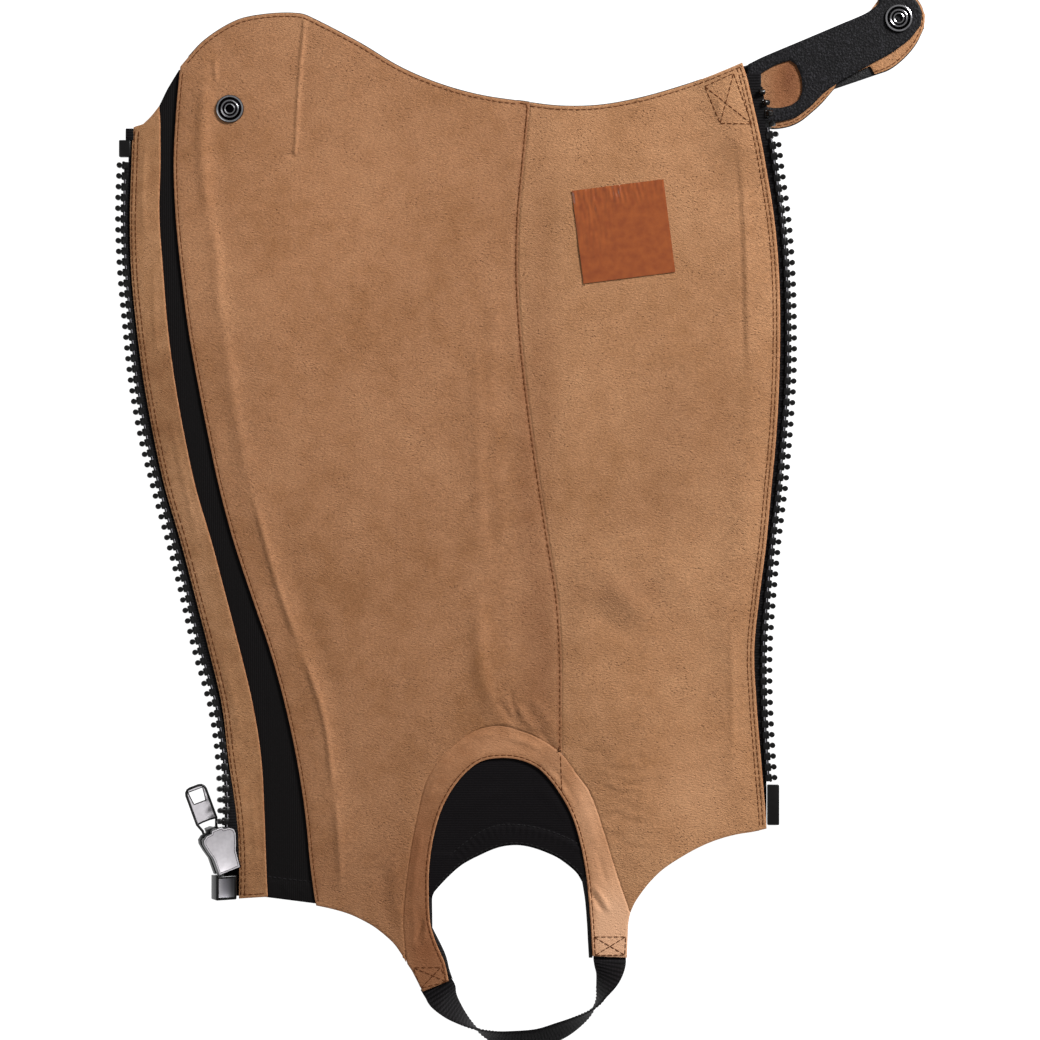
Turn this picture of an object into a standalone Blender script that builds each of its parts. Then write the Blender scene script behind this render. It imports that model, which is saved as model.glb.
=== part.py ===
"""A leather half chap laid open flat, lining side up, as a saddler cuts it.

The lower layer (black leather shell, elastic panel, zip tapes, arch gusset and foot strap) rests on the
surface z = 0. The upper layer (tan lining, arch facing and zip facing) lies on it and overlaps its seams.
+Y runs up the leg, +X to the right as the piece is seen from above, and the origin is the middle of its
outline on the surface. Sizes in the tables are millimetres.
"""

import math
from collections import namedtuple

import bmesh
import bpy
import numpy as np
from mathutils import Matrix, Vector

MM = 0.001

# ---------------------------------------------------------------- driving sizes
SEAM_GAP = 0.3        # between pieces that are sewn edge to edge or face to face
SHELL = 1.2           # black leather, elastic and gusset
LINING = 1.1          # tan pigskin
LINING_BASE = SHELL + SEAM_GAP
LAP = 3.0             # how far the upper layer covers the edge of the piece it is sewn to
EDGE_SHOW = 0.5       # black leather showing past the tan top edge
STEP = 6.0            # spacing of points along an outline

TAPE = 0.8            # zip tape thickness
TOOTH = 5.0           # reach of the teeth past the tape
CHAIN = 3.1           # thickness of the moulded chain
CHAIN_CHAMFER = 0.9
TAB_RISE = 3.3        # how far the right zip is lifted where it crosses the closure tab
SLIDER_RISE = 4.9     # and the left zip where it enters the slider

CHAIN_TOP = 198.5     # the right chain's upper end
RIGHT_TAPE_TOP, RIGHT_TAPE_TOP_X = 205.0, 110.3     # and the tape's, past the chain
LEFT_CHAIN_ENDS = (-134.5, 166.5)                   # where it enters the slider, and its upper end
LEFT_TAPE_PAST_CHAIN = 13.0                         # how far the left tape runs on above it
STOP = {"inset": 0.9, "low": 167.0, "high": 174.8}  # the block above the left chain
PIN = {"left": 113.8, "right": 119.3, "low": -140.4, "high": -121.8, "thick": 2.8}

STRAP_WIDTH, STRAP_THICK = 15.0, 1.5
TAB_LAYER = 0.8       # each of the closure tab's three layers

SNAP_RADIUS, STEM_RADIUS = 6.4, 2.5
SNAP_STUD_AT = (-133.4, 189.1)
SNAP_SOCKET_AT = (174.1, 230.7)

LABEL_CENTRE, LABEL_SIZE, LABEL_TURN = (47.6, 132.7), (42.5, 43.0), 7.3

# One row for each height: where each seam and fold line crosses it, from left to right.
Section = namedtuple("Section", "y tip_left strip elastic front fold_front seam fold_inside inside tip_right")
SECTIONS = (
    Section(212, -184.0, -177.0, -165.5, -156.0, -146.0, 6.0, 95.0, 102.0, 115.4),
    Section(190, -184.5, -177.8, -165.5, -158.0, -146.8, 4.4, 98.0, 107.3, 117.8),
    Section(165, -185.6, -178.7, -165.4, -159.3, -146.1, 2.1, 101.0, 112.6, 121.2),
    Section(140, -186.4, -179.5, -165.9, -158.4, -143.5, -0.2, 104.3, 116.8, 124.8),
    Section(115, -185.5, -178.9, -164.2, -156.0, -140.1, -0.8, 107.1, 119.1, 126.8),
    Section(90, -183.2, -176.6, -162.2, -152.9, -136.8, 0.4, 108.1, 119.7, 127.5),
    Section(65, -180.6, -173.3, -159.0, -148.6, -133.1, 2.7, 107.6, 119.3, 127.3),
    Section(40, -176.3, -168.9, -154.6, -143.7, -128.8, 5.9, 106.7, 118.0, 125.6),
    Section(15, -170.1, -163.4, -149.2, -138.4, -123.9, 9.5, 105.0, 115.7, 123.4),
    Section(-10, -163.2, -156.1, -141.9, -131.7, -116.6, 13.4, 101.1, 113.4, 120.3),
    Section(-35, -156.8, -149.5, -135.3, -123.5, -108.5, 17.4, 97.4, 110.2, 118.0),
    Section(-60, -151.1, -143.1, -128.8, -115.0, -101.0, 19.1, 96.6, 107.8, 116.3),
    Section(-85, -144.0, -137.2, -122.9, -108.1, -93.8, 19.3, 97.0, 108.9, 116.5),
    Section(-110, -140.2, -134.1, -119.0, -102.7, -88.4, 19.3, 98.0, 110.9, 117.9),
    Section(-135, -138.6, -130.4, -117.6, -98.8, -84.3, 19.3, 98.8, 113.0, 119.6),
    Section(-160, -138.0, -129.0, -116.7, -96.3, -82.2, 19.3, 99.0, 114.4, 121.0),
    Section(-176, -137.6, -129.3, -115.9, -94.2, -81.6, 19.3, 99.2, 115.2, 122.0),
)

# A lining's rows, closer together where the closure tab lifts it.
ROWS = np.unique(np.concatenate([np.arange(-224.0, 247.0, 10.0), np.arange(151.0, 182.0, 10.0)]))

Point = namedtuple("Point", "x y")
TOP_EDGE = [Point(*row) for row in (
    (-156.3, 208.6), (-147.2, 219.0), (-138.0, 225.9), (-128.8, 230.5), (-119.6, 232.4), (-108.0, 233.3),
    (-99.0, 232.4), (-91.0, 228.6), (-73.6, 219.4), (-55.2, 208.4), (-36.8, 200.6), (-18.4, 195.5),
    (0.0, 192.7), (18.4, 190.5), (36.8, 190.9), (55.2, 194.2), (73.6, 199.4), (90.0, 205.0), (102.0, 210.0))]
STRIP_TOP = [Point(*row) for row in ((-177.8, 180.8), (-173.4, 182.2), (-169.7, 185.8), (-166.0, 190.5))]
ELASTIC_TOP = [Point(*row) for row in ((-166.3, 190.5), (-162.8, 197.7), (-157.0, 207.4))]
ARCH_EDGE = [Point(*row) for row in (
    (-32.8, -212.1), (-34.5, -204.2), (-38.4, -195.0), (-41.2, -185.8), (-42.0, -172.0), (-41.8, -160.0),
    (-39.6, -145.0), (-35.4, -131.6), (-27.6, -119.1), (-18.4, -111.3), (-9.2, -109.5), (0.0, -110.4),
    (9.2, -114.8), (18.4, -126.0), (24.0, -136.4), (27.6, -148.0), (30.4, -162.4), (32.5, -185.4),
    (33.4, -200.6))]
GUSSET_EDGE = [Point(*row) for row in (
    (-40.5, -172.5), (-37.0, -168.4), (-27.6, -159.4), (-18.4, -154.3), (-9.2, -150.6), (0.0, -149.8),
    (9.2, -152.0), (18.4, -156.2), (24.4, -160.8), (27.8, -164.6))]
FACING_EDGE = [Point(*row) for row in (
    (-52.2, -203.0), (-53.6, -184.5), (-52.0, -164.7), (-48.3, -141.7), (-42.6, -120.0), (-35.9, -109.5),
    (-28.1, -102.1), (-20.2, -96.9), (-9.8, -94.4), (-0.9, -96.4), (8.7, -100.6), (19.3, -108.0),
    (25.8, -116.8), (31.6, -124.7), (38.0, -142.1), (44.2, -162.4), (50.6, -181.0))]
LEFT_LEG_EDGE = [Point(*row) for row in (
    (-93.8, -177.4), (-82.8, -179.9), (-73.6, -183.5), (-64.4, -189.1), (-57.0, -196.2), (-52.2, -203.0),
    (-44.8, -217.0))]
RIGHT_LEG_EDGE = [Point(*row) for row in (
    (113.4, -142.7), (101.2, -144.4), (92.0, -146.7), (82.8, -150.4), (73.6, -155.5), (64.4, -161.9),
    (55.8, -171.6), (50.6, -181.0), (49.6, -190.4), (49.2, -201.4))]
SHELL_LEG_INNER = {   # the black leather's edge inside the legs, just past the tan
    "left": [Point(-32.3, -208.1), Point(-34.5, -199.6), Point(-40.3, -187.7), Point(-40.5, -173.2)],
    "right": [Point(28.4, -165.4), Point(29.9, -174.8), Point(30.8, -185.4), Point(31.3, -195.0)],
}
SHELL_LEG_END = {"left": Point(-46.4, -212.4), "right": Point(48.9, -195.6)}   # where the strap begins

TAB_UPPER = [Point(*row) for row in (
    (104.9, 209.6), (110.4, 212.4), (128.8, 220.2), (147.2, 228.0), (160.0, 233.6), (165.0, 237.4))]
TAB_END_CENTRE, TAB_END_RADIUS = Point(173.5, 231.4), 11.5
BACKING_LOWER = [Point(*row) for row in (
    (179.8, 221.6), (171.6, 215.3), (162.8, 210.5), (152.7, 204.7), (144.4, 199.9), (139.4, 196.0),
    (133.9, 190.4), (127.4, 185.6), (118.2, 183.1), (106.0, 182.9))]
TAB_TAN_TIP = [Point(*row) for row in (
    (186.4, 232.5), (185.8, 226.8), (182.2, 219.4), (176.9, 213.0), (170.4, 207.9), (163.3, 205.2))]
TAB_TAN_NOTCH = [Point(*row) for row in ((161.2, 209.0), (146.0, 202.0), (144.6, 198.8))]
TAB_TAN_ROOT = [Point(*row) for row in (
    (144.4, 198.7), (138.9, 192.3), (133.9, 187.7), (128.8, 183.7), (123.5, 181.4), (117.0, 180.4),
    (108.0, 181.9))]
WINDOW = [Point(*row) for row in (   # it ends where it starts
    (110.9, 205.4), (118.7, 209.8), (124.2, 211.4), (127.0, 209.3), (129.3, 204.0), (129.8, 197.6),
    (128.2, 193.4), (124.7, 190.9), (117.5, 189.5), (112.0, 190.2), (110.9, 205.4))]
TAB_ROOT_LEFT, TAB_ROOT_LOW = 84.0, 180.6

# The foot strap's middle line: it leaves each leg flat, stands on edge and leans in where it turns.
StrapStation = namedtuple("StrapStation", "x y roll")
STRAP = [StrapStation(*row) for row in (
    (-39.4, -212.6, 0), (-37.2, -216.2, 0), (-34.0, -221.0, 40), (-29.5, -225.7, 63), (-22.3, -231.5, 90),
    (-14.5, -235.9, 114), (-5.0, -238.6, 132), (8.0, -238.0, 135), (18.5, -234.2, 130), (26.5, -229.8, 118),
    (32.0, -225.6, 104), (35.8, -220.6, 86), (37.6, -216.0, 70), (40.2, -209.6, 44), (41.2, -204.4, 16),
    (41.3, -201.7, 0), (41.3, -196.2, 0))]

# Soft folds of the lining that leave its seams: a row for each, from its upper to its lower end.
Fold = namedtuple("Fold", "x0 y0 x1 y1 height half_width")
FOLDS = (
    Fold(-19.0, 58.0, -17.0, -60.0, 0.5, 5.0),
    Fold(-18.0, -66.0, -10.5, -92.0, 1.0, 4.0),
    Fold(-5.0, 20.0, -6.0, -72.0, 0.5, 5.0),
    Fold(-8.5, -80.0, 3.0, -96.0, 0.7, 4.0),
    Fold(36.0, -30.0, 58.0, -48.0, 0.8, 9.0),
    Fold(-64.0, -150.0, -60.0, -186.0, 0.6, 5.0),
)
FOLD_FRONT_HEIGHT, FOLD_INSIDE_HEIGHT, FOLD_WIDTH = 1.3, 1.0, 3.6

# Slider: shield-shaped plates with flanges, a wedge between them and a bridge on the outer side.
SLIDER_AT = (-137.2, -151.1, 8.05)
SLIDER_TURN = {"lean": 15.7, "pitch": 8.0, "roll": 27.0}
SLIDER_HALF_THICK, CHANNEL_HALF, SLOT_HALF = 3.7, 1.95, 0.75
SLIDER_HALF_OUTLINE = [Point(*row) for row in (
    (2.6, 10.5), (3.1, 9.3), (5.8, 9.0), (7.7, 7.6), (8.0, 5.6), (7.1, 2.0), (5.7, -2.0), (5.3, -10.0))]
FLANGE = 1.0
WEDGE = ((0.0, 2.0), (0.95, 5.0), (0.95, 10.2), (-0.95, 10.2), (-0.95, 5.0))
# The chain's way through it: its middle's x and y, and half the slider's width there.
ChainStation = namedtuple("ChainStation", "x y half_width")
CHAIN_IN_SLIDER = [ChainStation(*row) for row in (
    (3.75, 9.6, 6.7), (3.75, 5.0, 7.9), (2.85, 2.0, 7.1), (1.75, -2.0, 5.7), (1.4, -10.6, 5.3))]
BRIDGE = {"low": 2.5, "high": 10.3, "leg": 1.5, "half_width": 1.5, "hole": 3.8, "thick": 1.2}
PIVOT_Y, PIVOT_DEPTH = 6.5, 5.6   # the pull's bar, measured in the slider

PULL_TURN = {"lean": 20.4, "pitch": -2.0, "roll": 18.0}
PULL_LENGTH, PULL_WIDTH, PULL_THICK, PULL_BAR = 24.3, 10.7, 1.8, 0.9
PULL_EYE = {"start": 0.9, "end": 6.2, "half_width": 2.7, "arm": 1.3}
PULL_WINDOW = {"from_tip": 2.0, "length": 6.2, "wide": 8.0, "narrow": 5.8}

BOX_AT, BOX_ROLL = (-135.85, -168.5, 5.7), 27.0
BOX_SIZE = (10.1, 11.2, 6.8)
BOX_SOCKET = (3.2, 8.0, 2.2)

Finish = namedtuple("Finish", "colour roughness metallic")
FINISHES = {
    "pigskin": Finish((0.40, 0.20, 0.10), 0.6, 0.0),
    "black_leather": Finish((0.012, 0.011, 0.011), 0.5, 0.0),
    "stretch_fabric": Finish((0.010, 0.009, 0.009), 0.9, 0.0),
    "webbing": Finish((0.014, 0.013, 0.013), 0.8, 0.0),
    "moulded_plastic": Finish((0.010, 0.010, 0.010), 0.35, 0.0),
    "polished_zinc": Finish((0.46, 0.45, 0.45), 0.3, 1.0),
    "gunmetal": Finish((0.09, 0.09, 0.09), 0.3, 1.0),
    "foil": Finish((0.30, 0.11, 0.04), 0.25, 0.0),
}


# ---------------------------------------------------------------- lines on the flat cut
def curve_through(points, step=STEP):
    """A smooth line through rows of numbers (centripetal Catmull-Rom), with a point about every step."""
    rows = np.array(points, float)
    rows = np.vstack([2 * rows[0] - rows[1], rows, 2 * rows[-1] - rows[-2]])
    line = []
    for i in range(1, len(rows) - 2):
        p0, p1, p2, p3 = rows[i - 1:i + 3]
        knots = np.cumsum([0] + [max(np.linalg.norm((b - a)[:2]), 1e-6) ** 0.5
                                 for a, b in ((p0, p1), (p1, p2), (p2, p3))])
        t0, t1, t2, t3 = knots
        for t in np.linspace(t1, t2, max(1, round(np.linalg.norm((p2 - p1)[:2]) / step)), endpoint=False):
            a1 = ((t1 - t) * p0 + (t - t0) * p1) / (t1 - t0)
            a2 = ((t2 - t) * p1 + (t - t1) * p2) / (t2 - t1)
            a3 = ((t3 - t) * p2 + (t - t2) * p3) / (t3 - t2)
            b1 = ((t2 - t) * a1 + (t - t0) * a2) / (t2 - t0)
            b2 = ((t3 - t) * a2 + (t - t1) * a3) / (t3 - t1)
            line.append(((t2 - t) * b1 + (t - t1) * b2) / (t2 - t1))
    line.append(rows[-2])
    return [tuple(row) for row in line]


def across(column, y):
    """Where a column of SECTIONS crosses the height y, on a smooth curve."""
    ys = np.array([row.y for row in SECTIONS], float)[::-1]
    xs = np.array([getattr(row, column) for row in SECTIONS], float)[::-1]
    slopes = np.gradient(xs, ys)
    y = float(np.clip(y, ys[0] - 4, ys[-1] + 6))
    i = int(np.clip(np.searchsorted(ys, y) - 1, 0, len(ys) - 2))
    span = ys[i + 1] - ys[i]
    t = float(np.clip((y - ys[i]) / span, 0, 1))
    outside = y - np.clip(y, ys[0], ys[-1])
    smooth = ((2 * t**3 - 3 * t**2 + 1) * xs[i] + (t**3 - 2 * t**2 + t) * span * slopes[i]
              + (-2 * t**3 + 3 * t**2) * xs[i + 1] + (t**3 - t**2) * span * slopes[i + 1])
    return smooth + outside * (slopes[0] if outside < 0 else slopes[-1])


def edge(column, start, end, shift=0.0):
    """The line of a column from one height to another, moved to the right by shift."""
    count = max(2, round(abs(end - start) / STEP) + 1)
    return [(across(column, y) + shift, y) for y in np.linspace(start, end, count)]


def trimmed(line, axis, bound, above):
    """The part of a line whose coordinate on an axis is above (or below) a bound, cut exactly at it."""
    kept = []
    for a, b in zip(line, line[1:]):
        if (a[axis] >= bound) == above:
            kept.append(tuple(a[:2]))
        if (a[axis] - bound) * (b[axis] - bound) < 0:
            t = (bound - a[axis]) / (b[axis] - a[axis])
            kept.append((a[0] + t * (b[0] - a[0]), a[1] + t * (b[1] - a[1])))
    if (line[-1][axis] >= bound) == above:
        kept.append(tuple(line[-1][:2]))
    return kept


def offset(line, distance):
    """A line moved to its own left by a distance."""
    rows = np.array(line, float)[:, :2]
    ahead = np.gradient(rows, axis=0)
    ahead /= np.linalg.norm(ahead, axis=1)[:, None]
    return [tuple(row) for row in rows + distance * np.stack([-ahead[:, 1], ahead[:, 0]], axis=1)]


def arc(centre, radius, start, end, count):
    angles = np.radians(np.linspace(start, end, count))
    return [(centre[0] + radius * math.cos(a), centre[1] + radius * math.sin(a)) for a in angles]


def step_up(value, low, high):
    """0 below low, 1 above high, smooth between."""
    t = min(max((value - low) / (high - low), 0.0), 1.0)
    return t * t * (3 - 2 * t)


# ---------------------------------------------------------------- objects
def collection(name):
    made = bpy.data.collections.new(name)
    bpy.context.scene.collection.children.link(made)
    return made


def material(name):
    finish = FINISHES[name]
    made = bpy.data.materials.new(name)
    made.use_nodes = True
    shader = made.node_tree.nodes["Principled BSDF"]
    shader.inputs["Base Color"].default_value = (*finish.colour, 1.0)
    shader.inputs["Roughness"].default_value = finish.roughness
    shader.inputs["Metallic"].default_value = finish.metallic
    return made


class Bench:
    """Holds the collections, and adds pieces and cutters to them."""

    def __init__(self):
        for old in list(bpy.data.objects):
            bpy.data.objects.remove(old)
        self.pieces = collection("half_chap")
        self.cutters = collection("cutters")

    def piece(self, obj, finish):
        self.pieces.objects.link(obj)
        obj.data.materials.clear()
        obj.data.materials.append(material(finish))
        return obj

    def cutter(self, obj):
        self.cutters.objects.link(obj)
        obj.hide_render = True
        obj.display_type = "WIRE"
        return obj


def boolean(target, other, operation):
    modifier = target.modifiers.new(other.name, "BOOLEAN")
    modifier.operation = operation
    modifier.solver = "EXACT"
    modifier.object = other
    return modifier


def mesh_object(name, bm):
    bmesh.ops.recalc_face_normals(bm, faces=bm.faces)
    mesh = bpy.data.meshes.new(name)
    bm.to_mesh(mesh)
    bm.free()
    return bpy.data.objects.new(name, mesh)


def flat_solid(name, outline, low, high):
    """A flat outline filled as a 2D curve and given its thickness from low to high, as a welded mesh."""
    curve = bpy.data.curves.new(name, "CURVE")
    curve.dimensions = "2D"
    curve.fill_mode = "BOTH"
    curve.extrude = (high - low) / 2 * MM
    spline = curve.splines.new("POLY")
    spline.points.add(len(outline) - 1)
    for point, spot in zip(spline.points, outline):
        point.co = (spot[0] * MM, spot[1] * MM, 0.0, 1.0)
    spline.use_cyclic_u = True
    drawn = bpy.data.objects.new(name, curve)
    bpy.context.scene.collection.objects.link(drawn)
    bpy.context.view_layer.update()
    mesh = bpy.data.meshes.new_from_object(drawn.evaluated_get(bpy.context.evaluated_depsgraph_get()))
    bpy.data.objects.remove(drawn)
    bpy.data.curves.remove(curve)
    bm = bmesh.new()
    bm.from_mesh(mesh)
    bpy.data.meshes.remove(mesh)
    bmesh.ops.remove_doubles(bm, verts=bm.verts, dist=0.00001)
    bmesh.ops.translate(bm, verts=bm.verts, vec=(0, 0, (low + high) / 2 * MM))
    return mesh_object(name, bm)


def loft(name, rings):
    """A closed solid through rings of points, with flat ends."""
    bm = bmesh.new()
    loops = [[bm.verts.new(Vector(spot) * MM) for spot in ring] for ring in rings]
    for near, far in zip(loops, loops[1:]):
        for i in range(len(near)):
            j = (i + 1) % len(near)
            bm.faces.new((near[i], near[j], far[j], far[i]))
    bm.faces.new(loops[0])
    bm.faces.new(loops[-1])
    return mesh_object(name, bm)


def relief_sheet(name, columns, rows, height, thick):
    """A wall of even thickness whose underside follows height(x, y), over a grid of columns and rows."""
    bm = bmesh.new()
    across_count, down_count = len(columns(rows[0])), len(rows)
    bmesh.ops.create_grid(bm, x_segments=across_count - 1, y_segments=down_count - 1, size=1.0)
    for vert in bm.verts:
        i = round((vert.co.x + 1) / 2 * (across_count - 1))
        j = round((vert.co.y + 1) / 2 * (down_count - 1))
        y = rows[j]
        x = columns(y)[i]
        vert.co = Vector((x, y, height(x, y))) * MM
    bm.normal_update()
    bmesh.ops.reverse_faces(bm, faces=[face for face in bm.faces if face.normal.z < 0])
    mesh = bpy.data.meshes.new(name)
    bm.to_mesh(mesh)
    bm.free()
    obj = bpy.data.objects.new(name, mesh)
    wall = obj.modifiers.new("wall", "SOLIDIFY")
    wall.thickness = thick * MM
    wall.offset = 1.0
    return obj


def turned(name, profile, steps=24):
    """A closed solid turned about Z from a profile of (radius, height) rows that runs from top to bottom."""
    bm = bmesh.new()
    verts = [bm.verts.new((r * MM, 0, z * MM)) for r, z in profile]
    for a, b in zip(verts, verts[1:]):
        bm.edges.new((a, b))
    mesh = bpy.data.meshes.new(name)
    bm.to_mesh(mesh)
    bm.free()
    obj = bpy.data.objects.new(name, mesh)
    screw = obj.modifiers.new("turn", "SCREW")
    screw.steps = steps
    screw.render_steps = steps
    screw.use_merge_vertices = True
    screw.merge_threshold = 0.00001
    return obj


def cylinder(name, centre, radius, low, high):
    return flat_solid(name, arc(centre, radius, 0, 345, 24), low, high)


def box(name, low, high):
    bm = bmesh.new()
    size = [(b - a) * MM for a, b in zip(low, high)]
    middle = [(a + b) / 2 * MM for a, b in zip(low, high)]
    bmesh.ops.create_cube(bm, size=1.0, matrix=Matrix.Translation(middle) @ Matrix.Diagonal((*size, 1.0)))
    return mesh_object(name, bm)


def placement(spot, turn):
    """A world matrix at a spot in millimetres, leaned in the plane, pitched and then rolled."""
    return (Matrix.Translation(Vector(spot) * MM)
            @ Matrix.Rotation(math.radians(turn["lean"]), 4, "Z")
            @ Matrix.Rotation(math.radians(turn["pitch"]), 4, "X")
            @ Matrix.Rotation(math.radians(turn["roll"]), 4, "Y"))


def in_slider(x, y, z):
    """A point of the slider's own frame, in world millimetres."""
    return placement(SLIDER_AT, SLIDER_TURN) @ (Vector((x, y, z)) * MM) / MM


# ---------------------------------------------------------------- the lining's form
def tab_lift(y):
    """How far the closure tab lifts the zip and the lining's corner above it."""
    return TAB_RISE * step_up(y, 152.0, 177.0)


def slider_lift(y):
    """How far the left zip rises to enter the slider."""
    return SLIDER_RISE * (1 - step_up(y, -139.0, -88.0))


def strip_lift(x, y):
    """How far the slider lifts the zip facing and the tape below it: most at the edge, nothing inside."""
    at_edge = 0.51 * slider_lift(y) * step_up(y, -180.0, -166.0)
    return at_edge * (1 - step_up(x - across("strip", y), -0.5, 5.5))


def fold_height(fold, x, y):
    run, span = Vector((fold.x1 - fold.x0, fold.y1 - fold.y0)), Vector((x - fold.x0, y - fold.y0))
    t = min(max(span.dot(run) / run.length_squared, 0.0), 1.0)
    return fold.height * math.exp(-((span - run * t).length / fold.half_width) ** 2)


def lining_relief(x, y):
    """Height of the lining's underside: folds beside both zips, soft folds and the corner over the tab."""
    height = LINING_BASE
    along_front = step_up(y, -176.0, -150.0) * (1 - step_up(y, 196.0, 214.0))
    swell = 0.8 + 0.2 * math.sin(y / 31.0)
    height += FOLD_FRONT_HEIGHT * swell * along_front * math.exp(
        -((x - across("fold_front", y)) / FOLD_WIDTH) ** 2)
    along_inside = step_up(y, -142.0, -120.0) * (1 - step_up(y, 160.0, 182.0))
    height += FOLD_INSIDE_HEIGHT * along_inside * math.exp(
        -((x - across("fold_inside", y)) / FOLD_WIDTH) ** 2)
    height += sum(fold_height(fold, x, y) for fold in FOLDS)
    from_edge = across("inside", y) - x
    return height + tab_lift(y) * (1 - step_up(from_edge, 6.0, 30.0))


def facing_relief(x, y):
    """Height of the zip facing's underside, which the slider lifts at its lower corner."""
    return LINING_BASE + strip_lift(x, y)


def front_columns(y):
    front, fold, seam = across("front", y), across("fold_front", y), across("seam", y)
    beside_fold = [front - 4, (front + fold - 7) / 2, fold - 7, fold - 3.5, fold, fold + 3.5, fold + 7]
    beside_seam = [seam + d for d in (-38, -32, -26, -20, -14, -8, 3)]
    return beside_fold + list(np.linspace(fold + 7, seam - 38, 7)[1:-1]) + beside_seam


def inside_columns(y):
    seam, fold, inside = across("seam", y), across("fold_inside", y), across("inside", y)
    beside_fold = [fold - 8, fold - 3.5, fold, fold + 3.5, inside - 2.5, inside + 4]
    return [seam - 3] + list(np.linspace(seam + 8, fold - 8, 9)[:-1]) + beside_fold


def facing_columns(y):
    strip, elastic = across("strip", y), across("elastic", y)
    return [strip - 3, strip + 1.5, strip + 5, elastic + 3]


# ---------------------------------------------------------------- pieces
def build_linings(bench):
    arch, facing = curve_through(ARCH_EDGE), curve_through(FACING_EDGE)
    top, left_leg, right_leg = (curve_through(rows) for rows in (TOP_EDGE, LEFT_LEG_EDGE, RIGHT_LEG_EDGE))
    clear_of_facing = offset(facing, SEAM_GAP)
    seam_x, gap = SECTIONS[-1].seam, SEAM_GAP / 2
    reach = (-10.0, 30.0)

    def meet(column, shift):
        """The top edge's point above a column's line, found by stepping along the edge."""
        return min(range(len(top)), key=lambda i: abs(top[i][0] - across(column, top[i][1]) - shift))

    seam_top = top[meet("seam", 0.0)][1]
    front = (trimmed(top, 0, across("seam", seam_top) - gap, False)
             + edge("seam", seam_top - 1.0, -104.0, -gap)
             + trimmed(clear_of_facing, 0, seam_x - gap, False)[::-1]
             + trimmed(left_leg, 0, -53.2, False)[::-1]
             + edge("front", -176.5, 207.0))
    inside = (trimmed(top, 0, across("seam", seam_top) + gap, True)
              + edge("inside", 209.0, -142.0)
              + trimmed(right_leg[1:], 1, -180.4, True)
              + trimmed(clear_of_facing, 0, seam_x + gap, True)[::-1][1:]
              + edge("seam", -103.0, seam_top - 1.0, gap))
    for name, outline, columns in (("lining_front", front, front_columns),
                                   ("lining_inside", inside, inside_columns)):
        wall = bench.piece(relief_sheet(name, columns, ROWS, lining_relief, LINING), "pigskin")
        boolean(wall, bench.cutter(flat_solid(name + "_cut", outline, *reach)), "INTERSECT")
        if name == "lining_front":
            hole = cylinder("stud_hole", SNAP_STUD_AT, STEM_RADIUS + SEAM_GAP, *reach)
            boolean(wall, bench.cutter(hole), "DIFFERENCE")

    band = (facing + trimmed(right_leg, 1, -181.2, False) + arch[::-1] + [left_leg[-1][:2]]
            + trimmed(left_leg, 0, -52.0, True)[::-1][1:])
    bench.piece(flat_solid("arch_facing", band, LINING_BASE, LINING_BASE + LINING), "pigskin")

    strip = (curve_through(STRIP_TOP) + edge("elastic", 189.0, -173.4) + edge("strip", -174.1, 180.0))
    wall = bench.piece(relief_sheet("zip_facing", facing_columns, ROWS, facing_relief, LINING), "pigskin")
    boolean(wall, bench.cutter(flat_solid("zip_facing_cut", strip, *reach)), "INTERSECT")


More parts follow.
